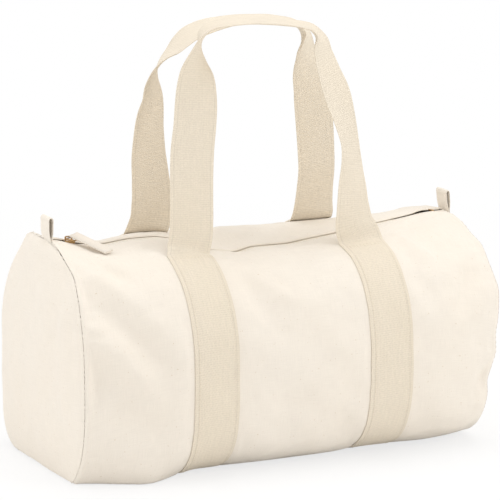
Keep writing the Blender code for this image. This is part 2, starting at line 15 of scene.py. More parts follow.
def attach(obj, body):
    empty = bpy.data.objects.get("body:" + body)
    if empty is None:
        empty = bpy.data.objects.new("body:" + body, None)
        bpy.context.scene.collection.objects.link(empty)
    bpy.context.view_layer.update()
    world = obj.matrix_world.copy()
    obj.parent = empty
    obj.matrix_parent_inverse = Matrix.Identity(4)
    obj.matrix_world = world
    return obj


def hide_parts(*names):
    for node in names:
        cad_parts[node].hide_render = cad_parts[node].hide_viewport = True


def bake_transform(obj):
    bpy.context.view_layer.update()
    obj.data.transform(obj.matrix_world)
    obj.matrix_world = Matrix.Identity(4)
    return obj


bl_info = {
    "name": "Canvas barrel bag",
    "version": (1, 0, 0),
    "blender": (4, 5, 0),
    "location": "3D View > Sidebar > Bag",
    "description": "Builds a cotton canvas barrel bag with webbing handles",
    "category": "Object",
}

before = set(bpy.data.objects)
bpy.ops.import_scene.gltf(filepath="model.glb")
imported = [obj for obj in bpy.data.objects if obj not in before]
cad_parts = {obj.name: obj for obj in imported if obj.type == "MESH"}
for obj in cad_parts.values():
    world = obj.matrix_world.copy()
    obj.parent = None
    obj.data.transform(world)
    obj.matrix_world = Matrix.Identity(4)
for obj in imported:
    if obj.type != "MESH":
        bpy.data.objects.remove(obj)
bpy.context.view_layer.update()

FRONT, REAR = -1, 1
LEFT, RIGHT = -1, 1
SIDES = ((FRONT, "front"), (REAR, "rear"))
ENDS = ((LEFT, "left"), (RIGHT, "right"))

# Main places of the bag, in metres, as the CAD model has them
HALF_BODY = 0.235
WIDEST_HEIGHT = 0.118
BODY_HEIGHT = 0.240
TOP_POWER = 2.4
MOUTH_HALF = 0.170
HINGE_OUT = 0.059
STRAP_CENTRE = 0.1005
STRAP_HALF = 0.025
CANVAS_WALL = 0.0012
WEBBING_WALL = 0.0020
SLIT = 0.0010

# Small tools for curves and cloth


def curve(x, y, slope, at):
    """A smooth curve through places x and values y with those slopes, read at the given places."""
    k = np.clip(np.searchsorted(x, at) - 1, 0, len(x) - 2)
    step = x[k + 1] - x[k]
    t = (at - x[k]) / step
    return (
        y[k] * (1 + 2 * t) * (1 - t) ** 2
        + slope[k] * step * t * (1 - t) ** 2
        + y[k + 1] * t * t * (3 - 2 * t)
        + slope[k + 1] * step * t * t * (t - 1)
    )


def smooth_table(places, at):
    """A smooth curve without overshoot through (place, value) pairs, read at the given places."""
    x, y = np.array(places, float).T
    step = np.diff(x)
    slope = np.diff(y) / step
    tangent = np.zeros(len(x))
    tangent[0], tangent[-1] = slope[0], slope[-1]
    for i in range(1, len(x) - 1):
        if slope[i - 1] * slope[i] > 0:
            near, far = 2 * step[i] + step[i - 1], step[i] + 2 * step[i - 1]
            tangent[i] = (near + far) / (near / slope[i - 1] + far / slope[i])
    return curve(x, y, tangent, np.clip(np.asarray(at, float), x[0], x[-1]))


def smooth_spline(x, y, at):
    """A curve through the places with tangents from their neighbours."""
    return curve(x, y, np.gradient(y, x), at)


def run_along(points):
    """How far along a line of points each of them lies."""
    return np.r_[0, np.cumsum(np.linalg.norm(np.diff(points, axis=0), axis=1))]


def read_at(at, run, values):
    """Rows of values at places along the run, between the rows that are given."""
    return np.stack([np.interp(at, run, column) for column in values.T], -1)


def path(stations, spacing):
    """Points at an even spacing along a smooth curve through the stations."""
    stations = np.array(stations, float)
    run = run_along(stations)
    at = np.linspace(0, run[-1], int(run[-1] / spacing) + 1)
    return np.stack([smooth_spline(run, column, at) for column in stations.T], 1)


def ease(value, start, end):
    """0 before start, 1 after end, and a smooth step between them."""
    t = np.clip((value - start) / (end - start), 0, 1)
    return t * t * (3 - 2 * t)


def hump(value, centre, spread):
    """A soft hump of height 1."""
    return np.exp(-(((value - centre) / spread) ** 2))


def across_share(count):
    """Places across a piece from -1 to 1, closer together at its edges."""
    return np.sin(np.linspace(-math.pi / 2, math.pi / 2, count))


def rounded(share, power, least):
    """The share of its thickness that a piece keeps across its width, less at its soft edges."""
    return np.sqrt(np.clip(1 - np.abs(share) ** power, least, 1))


def unit(vectors):
    """The vectors at length 1."""
    return vectors / np.maximum(np.linalg.norm(vectors, axis=-1, keepdims=True), 1e-12)


def square_to(vectors, way):
    """The vectors without their part along way, at length 1."""
    return unit(vectors - way * (vectors * way).sum(-1, keepdims=True))


def grid_normals(points, row, column, way):
    """Normals of a grid of points, turned so that the one at row and column looks along way."""
    normal = unit(np.cross(np.gradient(points, axis=0), np.gradient(points, axis=1)))
    return normal if normal[row, column] @ way >= 0 else -normal


def flat_places(across, along):
    """Each grid point's place on the cut cloth, from its places across and along the piece."""
    return np.stack(np.broadcast_arrays(across, along), -1)


def new_object(name, mesh, material):
    obj = bpy.data.objects.new(name, mesh)
    bpy.context.scene.collection.objects.link(obj)
    mesh.materials.append(material)
    return obj


def cloth(name, middle, normal, face, back, flat, material, cells=None):
    """A closed sheet of cloth on a grid: its face lies at middle + normal * face, its back at
    middle + normal * back, and walls join them round the edges. flat holds each point's place on
    the cut cloth, in metres, and cells says which of the grid's cells the sheet has."""
    rows, columns = middle.shape[:2]
    cells = np.ones((rows - 1, columns - 1), bool) if cells is None else cells
    count = rows * columns
    index = np.arange(count).reshape(rows, columns)
    a, b, c, d = index[:-1, :-1], index[1:, :-1], index[1:, 1:], index[:-1, 1:]
    spare = np.pad(cells, 1)
    borders = (
        (a, b, spare[1:-1, :-2]), (b, c, spare[2:, 1:-1]),
        (c, d, spare[1:-1, 2:]), (d, a, spare[:-2, 1:-1]),
    )
    edges = []
    for start, end, beyond in borders:
        free = cells & ~beyond
        edges.append(np.stack([start[free], end[free]], 1))
    edges = np.concatenate(edges)
    walls = np.stack([edges[:, 1], edges[:, 0], edges[:, 0] + count, edges[:, 1] + count], 1)
    outer = np.stack([a[cells], b[cells], c[cells], d[cells]], 1)
    inner = outer[:, ::-1] + count
    face = np.broadcast_to(np.asarray(face, float), (rows, columns))[..., None]
    back = np.broadcast_to(np.asarray(back, float), (rows, columns))[..., None]
    points = np.concatenate([middle + normal * face, middle + normal * back]).reshape(-1, 3)
    looks = normal.reshape(-1, 3)
    sample = outer[len(outer) // 2]
    one, two, _, four = points[sample]
    if np.cross(two - one, four - one) @ looks[sample[0]] < 0:
        outer, inner, walls = outer[:, ::-1], inner[:, ::-1], walls[:, ::-1]
    faces = np.concatenate([outer, inner, walls])
    one, two, _, four = (points[walls[:, k]] for k in range(4))
    wall_looks = np.repeat(unit(np.cross(two - one, four - one)), 4, 0)
    corners = np.concatenate([looks[outer.ravel()], -looks[inner.ravel() - count], wall_looks])
    used, new = np.unique(faces, return_inverse=True)
    mesh = bpy.data.meshes.new(name)
    mesh.from_pydata(points[used].tolist(), [], new.reshape(faces.shape).tolist())
    places = np.concatenate([flat.reshape(-1, 2)] * 2)[faces.ravel()]
    layer = mesh.uv_layers.new(name="cloth")
    layer.uv.foreach_set("vector", places.astype(np.float32).ravel())
    mesh.polygons.foreach_set("use_smooth", np.ones(len(faces), bool))
    mesh.normals_split_custom_set(corners.tolist())
    mesh.update()
    return new_object(name, mesh, material)


# The canvas body's form

ZIP_SAG = (
    (-0.235, -0.0055), (-0.222, -0.003), (-0.210, 0.000), (-0.185, 0.004), (-0.170, 0.005),
    (-0.150, 0.003), (-0.138, 0.002), (-0.115, 0.002), (-0.095, 0.005), (-0.060, 0.018),
    (-0.038, 0.0235), (-0.018, 0.0265), (0.004, 0.0225), (0.040, 0.0225), (0.068, 0.0195),
    (0.100, 0.016), (0.149, 0.009), (0.192, 0.003), (0.212, 0.000), (0.235, 0.000),
)
SAG_SPREAD = {FRONT: 0.065, REAR: 0.058}
FRONT_FOOT = (
    (-0.235, 0.086), (-0.214, 0.096), (-0.195, 0.108), (-0.167, 0.119), (-0.150, 0.112),
    (-0.130, 0.098), (-0.100, 0.080), (-0.075, 0.079), (-0.035, 0.080), (0.010, 0.078),
    (0.055, 0.074), (0.085, 0.060), (0.110, 0.056), (0.135, 0.060), (0.165, 0.066),
    (0.195, 0.060), (0.216, 0.052), (0.235, 0.042),
)
REAR_FOOT = (
    (-0.235, 0.080), (-0.17, 0.102), (-0.10, 0.090), (0.0, 0.098), (0.10, 0.090), (0.17, 0.104),
    (0.235, 0.090),
)
LOWER_POWERS = {
    FRONT: (
        (-0.235, 2.6), (-0.17, 3.1), (-0.1, 3.2), (0.0, 3.3), (0.1, 3.1), (0.17, 3.1), (0.235, 2.8),
    ),
    REAR: (
        (-0.235, 4.6), (-0.19, 3.7), (-0.1, 3.2), (0.0, 3.3), (0.1, 3.1), (0.17, 3.1), (0.235, 2.8),
    ),
}

# How far the end seams stand off a straight ring along x, by the distance from the zip over the cloth
SEAM_SHIFTS = {
    (LEFT, FRONT): (
        (0.00, 0.003), (0.03, 0.0025), (0.062, 0.001), (0.085, 0.002), (0.110, -0.0005),
        (0.15, -0.003), (0.20, -0.0035), (0.28, -0.0030), (0.32, -0.0045), (0.39, -0.0075),
    ),
    (LEFT, REAR): (
        (0.00, 0.003), (0.05, 0.000), (0.10, -0.001), (0.13, -0.003), (0.16, -0.0052),
        (0.20, -0.0060), (0.26, -0.0070), (0.31, -0.0090), (0.37, -0.0085), (0.39, -0.0075),
    ),
    (RIGHT, FRONT): (
        (0.00, 0.000), (0.067, -0.0018), (0.092, 0.0033), (0.111, 0.0036), (0.129, 0.0060),
        (0.145, 0.0085), (0.162, 0.0069), (0.178, 0.0047), (0.194, 0.0021), (0.211, 0.0024),
        (0.228, -0.0021), (0.245, -0.0062), (0.263, -0.0036), (0.281, -0.0030), (0.33, -0.0015),
        (0.39, 0.0),
    ),
    (RIGHT, REAR): ((0.0, 0.0), (0.15, 0.003), (0.25, 0.004), (0.33, 0.002), (0.39, 0.0)),
}
LIP_PLACES = (
    SLIT, 0.0014, 0.0019, 0.0026, 0.0036, 0.0048, 0.0060, 0.0072, 0.0088, 0.0110, 0.0140,
    0.0175, 0.0215, 0.0260, 0.0310, 0.0360, 0.0410, 0.0460, 0.0510, 0.0550, HINGE_OUT,
)
BODY_COLUMNS = 122
PROFILE_STEPS = 900
FLOOR_GAP = 0.0004
HALF_COLUMNS = len(LIP_PLACES) + BODY_COLUMNS
LAST_COLUMN = 2 * HALF_COLUMNS - 2
FRONT_COLUMN = 60
MOUTH_ROWS = 53
END_ROWS = 34
END_CROWDING = 1.7
END_WIDTH = 0.2445
BELLY_WIDTH = 0.292
BELLY_POWER = 5.0
SOLE_ROUNDING = 0.002
SOLE_OVER_FLOOR = 0.0003

# Folds: places (x, distance from the zip over the cloth), height of the ridge, its spread
FRONT_FOLDS = (
    (((-0.206, 0.056), (-0.200, 0.068), (-0.176, 0.106)), -0.0044, 0.0095),
    (((-0.222, 0.078), (-0.206, 0.098), (-0.180, 0.132)), 0.0034, 0.0100),
    (((-0.230, 0.110), (-0.204, 0.145), (-0.160, 0.205)), -0.0095, 0.0150),
    (((-0.226, 0.150), (-0.196, 0.190), (-0.158, 0.245)), 0.0042, 0.0110),
    (((-0.228, 0.155), (-0.213, 0.163)), -0.0022, 0.0036),
    (((-0.176, 0.130), (-0.152, 0.170)), 0.0034, 0.0110),
    (((-0.233, 0.188), (-0.218, 0.225), (-0.168, 0.275)), -0.0100, 0.0200),
    (((-0.140, 0.150), (-0.142, 0.240), (-0.146, 0.340)), 0.0034, 0.0120),
    (((-0.050, 0.094), (-0.035, 0.122), (-0.011, 0.146)), 0.0046, 0.0075),
    (((-0.062, 0.112), (-0.047, 0.147), (-0.030, 0.175)), -0.0042, 0.0115),
    (((0.030, 0.192), (0.052, 0.208), (0.066, 0.235)), 0.0028, 0.0150),
    (((-0.050, 0.240), (0.010, 0.262), (0.060, 0.300)), -0.0024, 0.0170),
    (((0.144, 0.058), (0.152, 0.086), (0.168, 0.116)), 0.0038, 0.0075),
    (((0.130, 0.084), (0.142, 0.118), (0.150, 0.160)), -0.0026, 0.0100),
    (((0.212, 0.116), (0.204, 0.133), (0.186, 0.168)), -0.0060, 0.0090),
    (((0.224, 0.140), (0.210, 0.176)), 0.0032, 0.0080),
    (((0.231, 0.236), (0.214, 0.258)), -0.0058, 0.0100),
    (((0.228, 0.290), (0.190, 0.330)), 0.0024, 0.0140),
    (((-0.190, 0.300), (-0.160, 0.352)), 0.0030, 0.0140),
)
REAR_FOLDS = (
    (((-0.205, 0.034), (-0.165, 0.050), (-0.135, 0.058), (-0.112, 0.062)), -0.0110, 0.0260),
    (((-0.214, 0.086), (-0.192, 0.114), (-0.180, 0.146)), -0.0048, 0.0090),
    (((-0.228, 0.128), (-0.206, 0.160), (-0.190, 0.206)), -0.0052, 0.0100),
    (((-0.146, 0.130), (-0.150, 0.230), (-0.144, 0.330)), 0.0034, 0.0120),
    (((-0.052, 0.090), (-0.024, 0.130), (-0.002, 0.176)), 0.0044, 0.0100),
    (((0.056, 0.094), (0.036, 0.134), (0.022, 0.190)), -0.0040, 0.0120),
    (((-0.030, 0.230), (0.020, 0.270)), -0.0026, 0.0180),
    (((0.146, 0.120), (0.152, 0.220)), 0.0032, 0.0130),
    (((0.218, 0.082), (0.196, 0.116), (0.176, 0.160)), -0.0050, 0.0090),
    (((0.230, 0.180), (0.206, 0.226)), 0.0038, 0.0100),
)

FADE_START, FADE_LENGTH, FADE_POWER = 0.12, 0.76, 0.8

# Soft unevenness: the waves' size, their height and the seed of their draws
CANVAS_WAVES = ((0.075, 0.0012, 3), (0.034, 0.00060, 5), (0.014, 0.00016, 8))
END_WAVES = ((0.070, 0.0010, 11), (0.026, 0.00040, 12))
WAVES, WAVE_SIZES = 26, (0.7, 1.5)
REAR_WAVES, END_WAVES_APART = 1.7, 0.3

# Swells between and beside the straps: their height, and their place and spread down the cloth
BELLY_SWELL, BELLY_DOWN = 0.0030, (0.20, 0.10)
BELLY_HALF = 0.074
SIDE_SWELL, SIDE_DOWN = 0.0022, (0.22, 0.11)
SIDE_PLACE = (0.178, 0.034)

# Puckers along the end seams, and how far from an edge the folds begin and are full
PUCKER_HEIGHT, PUCKER_LENGTH, PUCKER_REACH = 0.00060, 0.0026, 0.013
PUCKER_SWING, PUCKER_DRIFT, RIGHT_PUCKERS = 1.8, 0.021, 1.1
PUCKERS_FROM_SEAM = (0.0, 0.005)
FOLDS_FROM_SEAM = (0.0, 0.010)
FOLDS_FROM_ZIP = (0.004, 0.030)
FOLDS_FROM_FLOOR = (0.001, 0.030)
STRAP_EDGE, STRAP_FADE, STRAP_HOLD = 0.004, 0.010, 0.62

# The corner behind the zip's left end stands up: height, place and spread, and reach from the seam
RAISED_CORNER, RAISED_PLACE, RAISED_REACH = 0.0065, (0.045, 0.020), 0.030

# The rolled fold along the zip, its stitched groove and the puff between them
FOLD_DROP, FOLD_REACH = {FRONT: 0.0022, REAR: 0.0020}, 0.0011
GROOVE_DEPTH, GROOVE_PLACE = 0.0005, (0.0062, 0.0011)
PUFF_HEIGHT, PUFF_PLACE = 0.0004, (0.0034, 0.0016)

# The rear edge stands higher and further back, and both edges part at the zip's ends
REAR_RISE, REAR_RISE_REACH = 0.0022, 0.012
REAR_STEP, REAR_STEP_REACH = 0.0010, 0.006
PARTED = ((0.0054, -0.2095, 0.013), (0.0030, 0.2095, 0.010))
PARTED_REACH = 0.012

# The turned seam at both ends
SEAM_ROLL, SEAM_ROLL_REACH = 0.0013, 0.0016
SEAM_RIDGE, SEAM_RIDGE_PLACE = 0.0005, (0.0036, 0.0016)
SHIFT_REACH = 0.045

Canvas = namedtuple("Canvas", "rows points normal flat")


def half_width(x):
    """Half the body's width at x: narrow at the round ends, full in the belly."""
    share = np.minimum(np.abs(x) / HALF_BODY, 1) ** BELLY_POWER
    return (END_WIDTH + (BELLY_WIDTH - END_WIDTH) * (1 - share)) / 2


def strap_window(x, spare=STRAP_EDGE):
    """1 under the two straps and 0 away from them."""
    away = np.abs(np.abs(x) - STRAP_CENTRE) - STRAP_HALF
    return 1 - ease(away, 0.0, spare)


def profile(x, side):
    """One half of the canvas's section at x, from the zip to the middle of the bottom: distances
    from the middle plane, and heights."""
    width = float(half_width(x))
    foot = float(smooth_table(FRONT_FOOT if side == FRONT else REAR_FOOT, x))
    power = float(smooth_table(LOWER_POWERS[side], x))
    floor = FLOOR_GAP + WEBBING_WALL * float(strap_window(x))
    turn = np.linspace(0, math.pi, PROFILE_STEPS)
    upper = turn <= math.pi / 2
    sine, cosine = np.sin(turn), np.abs(np.cos(turn))
    powers = np.where(upper, TOP_POWER, power)
    across = width * np.maximum(sine, 0) ** (2 / powers)
    cut = (1 - (foot / width) ** power) ** (1 / power)
    lower = (WIDEST_HEIGHT - floor) / cut
    rise = np.where(upper, BODY_HEIGHT - WIDEST_HEIGHT, -lower) * cosine ** (2 / powers)
    sag = float(smooth_table(ZIP_SAG, x))
    height = WIDEST_HEIGHT + rise - np.where(upper, sag * hump(across, 0, SAG_SPREAD[side]), 0)
    above = height - floor
    return across, floor + (above + np.sqrt(above**2 + SOLE_ROUNDING**2)) / 2


def canvas_grid():
    """The canvas's grid without folds: rows along x, and columns from the front fold at the zip
    round the bottom to the rear fold. Gives the rows, the points, how far over the cloth each
    point lies from the zip, and its place on the cut cloth."""
    middle = np.linspace(0, MOUTH_HALF, MOUTH_ROWS)
    end = HALF_BODY - (HALF_BODY - MOUTH_HALF) * np.linspace(1, 0, END_ROWS)[1:] ** END_CROWDING
    half = np.r_[middle, end]
    rows = np.r_[-half[:0:-1], half]
    grids, runs = [], []
    for side, _ in SIDES:
        points = np.empty((len(rows), HALF_COLUMNS, 3))
        from_zip = np.empty(points.shape[:2])
        for i, x in enumerate(rows):
            across, height = profile(x, side)
            run = np.r_[0, np.cumsum(np.hypot(np.diff(across), np.diff(height)))]
            top = slice(0, PROFILE_STEPS // 3)
            lip_run = np.interp(LIP_PLACES, across[top], run[top])
            rest = np.linspace(lip_run[-1], run[-1], BODY_COLUMNS + 1)[1:]
            at = np.r_[lip_run, rest]
            points[i, :, 0] = x
            points[i, :, 1] = side * np.interp(at, run, across)
            points[i, :, 2] = np.interp(at, run, height)
            from_zip[i] = at
        points[:, -1, 1] = 0
        grids.append(points)
        runs.append(from_zip)
    points = np.concatenate([grids[0], grids[1][:, -2::-1]], 1)
    run = np.concatenate([runs[0], runs[1][:, -2::-1]], 1)
    whole = runs[0][:, -1:] + runs[1][:, -1:]
    over = np.concatenate([runs[0], whole - runs[1][:, -2::-1]], 1)
    return rows, points, run, flat_places(rows[:, None], over)


def crease(x, run, places, height, spread):
    """A long ridge or hollow on the cloth along places, which fades at both ends."""
    places = np.array(places)
    nearest = np.full(x.shape, 1e9)
    where = np.zeros(x.shape)
    lengths = np.linalg.norm(np.diff(places, axis=0), axis=1)
    total = lengths.sum()
    start = 0.0
    for a, b, length in zip(places[:-1], places[1:], lengths):
        way = (b - a) / length
        t = (x - a[0]) * way[0] + (run - a[1]) * way[1]
        inside = np.clip(t, 0, length)
        gap = np.hypot(x - a[0] - way[0] * inside, run - a[1] - way[1] * inside)
        closer = gap < nearest
        nearest = np.where(closer, gap, nearest)
        where = np.where(closer, (start + inside) / total, where)
        start += length
    fade = np.sin(np.pi * (FADE_START + FADE_LENGTH * where)) ** FADE_POWER
    return height * fade * np.exp(-((nearest / spread) ** 2))


def soft_noise(x, run, size, height, seed):
    """Gentle unevenness of about one size, from waves in all directions."""
    draw = np.random.default_rng(seed)
    total = np.zeros(x.shape)
    for _ in range(WAVES):
        way = draw.uniform(0, 2 * math.pi)
        pitch = size * draw.uniform(*WAVE_SIZES)
        phase = draw.uniform(0, 2 * math.pi)
        total += np.cos(2 * math.pi / pitch * (x * math.cos(way) + run * math.sin(way)) + phase)
    return total * height / math.sqrt(WAVES)


def fold_heights(x, run, height, front):
    """How far the folds, the swells and the puckered seams lift the canvas."""
    lift = np.zeros(x.shape)
    for folds, here in ((FRONT_FOLDS, front), (REAR_FOLDS, ~front)):
        for places, ridge, spread in folds:
            lift += np.where(here, crease(x, run, places, ridge, spread), 0)
    for size, rise, seed in CANVAS_WAVES:
        lift += soft_noise(x + np.where(front, 0.0, REAR_WAVES), run, size, rise, seed)
    belly = (1 - np.clip(np.abs(x) / BELLY_HALF, 0, 1) ** 2) * hump(run, *BELLY_DOWN)
    beside = hump(np.abs(x), *SIDE_PLACE) * hump(run, *SIDE_DOWN)
    lift += BELLY_SWELL * belly + SIDE_SWELL * beside
    to_seam = HALF_BODY - np.abs(x)
    drift = PUCKER_SWING * np.sin(run / PUCKER_DRIFT) + np.where(x > 0, RIGHT_PUCKERS, 0)
    puckers = np.sin(run / PUCKER_LENGTH + drift) * np.exp(-to_seam / PUCKER_REACH)
    lift += PUCKER_HEIGHT * puckers * ease(to_seam, *PUCKERS_FROM_SEAM)
    lift *= 1 - STRAP_HOLD * strap_window(x, STRAP_FADE)
    lift *= ease(to_seam, *FOLDS_FROM_SEAM)
    lift *= ease(run, *FOLDS_FROM_ZIP)
    return lift * ease(height, *FOLDS_FROM_FLOOR)


@cache
def canvas_form():
    """The canvas with its folds: its rows, and each point's place, normal and place on the cut
    cloth."""
    rows, points, run, flat = canvas_grid()
    x = points[..., 0].copy()
    front = np.zeros(x.shape, bool)
    front[:, :HALF_COLUMNS] = True
    normal = outward(points)
    to_seam = HALF_BODY - np.abs(x)
    raised = hump(run, *RAISED_PLACE) * np.exp(-to_seam / RAISED_REACH) * (x < 0) * ~front
    lift = fold_heights(x, run, points[..., 2], front) + RAISED_CORNER * raised
    points = points + normal * lift[..., None]
    fold = np.exp(-np.maximum(run - SLIT, 0) / FOLD_REACH)
    relief = GROOVE_DEPTH * hump(run, *GROOVE_PLACE) - PUFF_HEIGHT * hump(run, *PUFF_PLACE)
    points[..., 2] -= np.where(front, FOLD_DROP[FRONT], FOLD_DROP[REAR]) * fold + relief
    points[..., 2] += np.where(front, 0.0, REAR_RISE) * np.exp(-run / REAR_RISE_REACH)
    points[..., 1] += np.where(front, 0.0, REAR_STEP) * np.exp(-run / REAR_STEP_REACH)
    parted = sum(width * hump(x, place, spread) for width, place, spread in PARTED)
    points[..., 1] += np.sign(points[..., 1]) * parted * np.exp(-run / PARTED_REACH)
    ridge = SEAM_RIDGE * hump(to_seam, *SEAM_RIDGE_PLACE)
    roll = (SEAM_ROLL * np.exp(-to_seam / SEAM_ROLL_REACH) - ridge) * (1 - raised)
    points = points - normal * roll[..., None]
    for (end, side), places in SEAM_SHIFTS.items():
        here = (np.sign(x) == end) & (front if side == FRONT else ~front)
        shift = smooth_table(places, run) * (1 - ease(to_seam, 0.0, SHIFT_REACH))
        points[..., 0] += np.where(here, shift, 0)
    sole = (WEBBING_WALL + SOLE_OVER_FLOOR) * strap_window(x) + SOLE_OVER_FLOOR
    points[..., 2] = np.maximum(points[..., 2], sole)
    return Canvas(rows, points, outward(points), flat)


def outward(points):
    """The canvas's normals, which point out of the bag."""
    return grid_normals(points, points.shape[0] // 2, FRONT_COLUMN, (0, -1, 0))


# Materials

WARP_PITCH = 0.00165
# The webbing's painted highlight covers its edges beyond the first, and a thin line of painted shade
# lies at the second, both measured from its middle
EDGE_HIGHLIGHT_FROM, EDGE_SHADE_LINE = 0.0216, 0.0212
FLOOR_NEAR, NEAR_WHITE = 0.5, 0.74


class Wire:
    """A shader socket that can be added, multiplied and so on."""

    def __init__(self, nodes, socket):
        self.nodes, self.socket = nodes, socket

    def maths(self, operation, *others, clamp=False):
        """A Math node of that operation on this and the others."""
        settings = {"operation": operation, "use_clamp": clamp}
        return self.nodes.node("ShaderNodeMath", settings, [self, *others])

    def __add__(self, other):
        return self.maths("ADD", other)

    __radd__ = __add__

    def __mul__(self, other):
        return self.maths("MULTIPLY", other)

    __rmul__ = __mul__

    def __sub__(self, other):
        return self.maths("SUBTRACT", other)

    def __rsub__(self, other):
        return (self * -1) + other

    def __pow__(self, other):
        return self.maths("POWER", other)

    def sine(self):
        return self.maths("SINE")

    def size(self):
        return self.maths("ABSOLUTE")

    def clamp(self):
        return self.maths("ADD", 0.0, clamp=True)

    def wave(self):
        """The sine, brought between 0 and 1."""
        return self.sine() * 0.5 + 0.5


class Nodes:
    """The nodes of a material or of the world."""

    def __init__(self, tree):
        self.tree = tree

    def node(self, kind, settings, inputs, outputs=(0,)):
        """A node of that kind. inputs is a list, or a dict by socket name or number. Gives a wire
        from its output, or a list of them."""
        node = self.tree.nodes.new(kind)
        for key, value in settings.items():
            setattr(node, key, value)
        pairs = inputs.items() if isinstance(inputs, dict) else enumerate(inputs)
        for key, value in pairs:
            if isinstance(value, Wire):
                self.tree.links.new(value.socket, node.inputs[key])
            else:
                node.inputs[key].default_value = value
        wires = [Wire(self, node.outputs[key]) for key in outputs]
        return wires[0] if len(wires) == 1 else wires

    def mix(self, share, one, other):
        """A colour between one and other."""
        settings = {"data_type": "RGBA"}
        return self.node("ShaderNodeMix", settings, {0: share, 6: one, 7: other}, (2,))

    def seen(self):
        """1 where the camera sees the surface itself, mirrored or through another piece, else 0."""
        rays = ("Is Camera Ray", "Is Glossy Ray", "Is Transmission Ray")
        camera, mirrored, through = self.node("ShaderNodeLightPath", {}, {}, rays)
        return (camera + mirrored + through).clamp()


class Finish(Nodes):
    """One material and the nodes that make its finish."""

    def __init__(self, name, **constants):
        self.material = bpy.data.materials.new(name)
        self.material.use_nodes = True
        super().__init__(self.material.node_tree)
        self.tree.nodes.clear()
        fixed = {key.replace("_", " "): value for key, value in constants.items()}
        self.shader = self.node("ShaderNodeBsdfPrincipled", {}, fixed)

    def noise(self, place, scale, detail=2.0, rough=0.5):
        """Soft noise between 0 and 1."""
        inputs = {"Vector": place, "Scale": scale, "Detail": detail, "Roughness": rough}
        return self.node("ShaderNodeTexNoise", {}, inputs)

    def stretched(self, place, scale):
        inputs = {"Vector": place, "Scale": scale}
        return self.node("ShaderNodeMapping", {"vector_type": "POINT"}, inputs)

    def cloth_place(self, scale=(1, 1, 1)):
        """The place on the flat cloth, in metres, stretched by scale."""
        return self.stretched(self.node("ShaderNodeUVMap", {"uv_map": "cloth"}, {}), scale)

    def object_place(self, scale=(1, 1, 1)):
        """The place in the object, in metres, stretched by scale."""
        return self.stretched(self.node("ShaderNodeTexCoord", {}, {}, ("Object",)), scale)

    def parts(self, place):
        """The x, y and z of a place."""
        return self.node("ShaderNodeSeparateXYZ", {}, [place], (0, 1, 2))

    def set(self, key, wire):
        """Leads a wire to one of the shader's sockets."""
        self.tree.links.new(wire.socket, self.shader.socket.node.inputs[key])

    def bump(self, height, distance, strength):
        """Fine relief of that depth in metres."""
        inputs = {"Strength": strength, "Distance": distance, "Height": height}
        self.set("Normal", self.node("ShaderNodeBump", {}, inputs))

    def done(self, surface=None):
        """Leads the shader, or the surface that is given, to the material's output."""
        self.node("ShaderNodeOutputMaterial", {}, {"Surface": surface or self.shader}, ())
        return self.material


def shade(colour, *factors):
    """The colour times one factor, or times one each for red, green and blue, with alpha 1."""
    factors = factors * 3 if len(factors) == 1 else factors
    return tuple(min(1.0, c * f) for c, f in zip(colour, factors)) + (1.0,)


def canvas_finish(name, colour, pitch):
    """Plain woven natural cotton: warp and weft threads, slubs, seed flecks and soft unevenness."""
    cotton = Finish(name, Sheen_Weight=0.18, Sheen_Roughness=0.55, Specular_IOR_Level=0.22)
    place = cotton.cloth_place()
    u, v, _ = cotton.parts(place)
    drift = cotton.noise(place, scale=90.0)
    turn = 2 * math.pi / pitch
    warp = (u * turn + drift * 5.0).sine()
    weft = (v * turn + drift * 5.0).sine()
    weave = warp * weft * 0.5 + 0.5
    slub_u = cotton.noise(cotton.cloth_place((60, 1400, 1)), scale=1.0)
    slub_v = cotton.noise(cotton.cloth_place((1400, 60, 1)), scale=1.0)
    slub = slub_u * 0.5 + slub_v * 0.5
    grain = cotton.noise(cotton.object_place(), scale=900.0)
    patch = cotton.noise(cotton.object_place(), scale=9.0, detail=3.0, rough=0.55)
    flecks = cotton.noise(cotton.object_place(), scale=420.0, detail=1.0)
    share = ((slub - 0.5) * 1.5 + weave * 0.24 + 0.25).clamp()
    base = cotton.mix(share, shade(colour, 0.90), shade(colour, 1.035))
    patches = ((patch - 0.42) * 1.1).clamp() * 0.55
    base = cotton.mix(patches, base, shade(colour, 0.985, 0.955, 0.905))
    fleck = ((flecks - 0.735) * 22.0).clamp()
    base = cotton.mix(fleck * 0.45, base, shade(colour, 0.66, 0.56, 0.42))
    cotton.set("Base Color", base)
    cotton.set("Roughness", (grain * 0.14 + 0.84).clamp())
    cotton.bump(weave * 0.35 + slub * 0.9 + grain * 0.35, distance=0.00034, strength=0.75)
    return cotton.done()


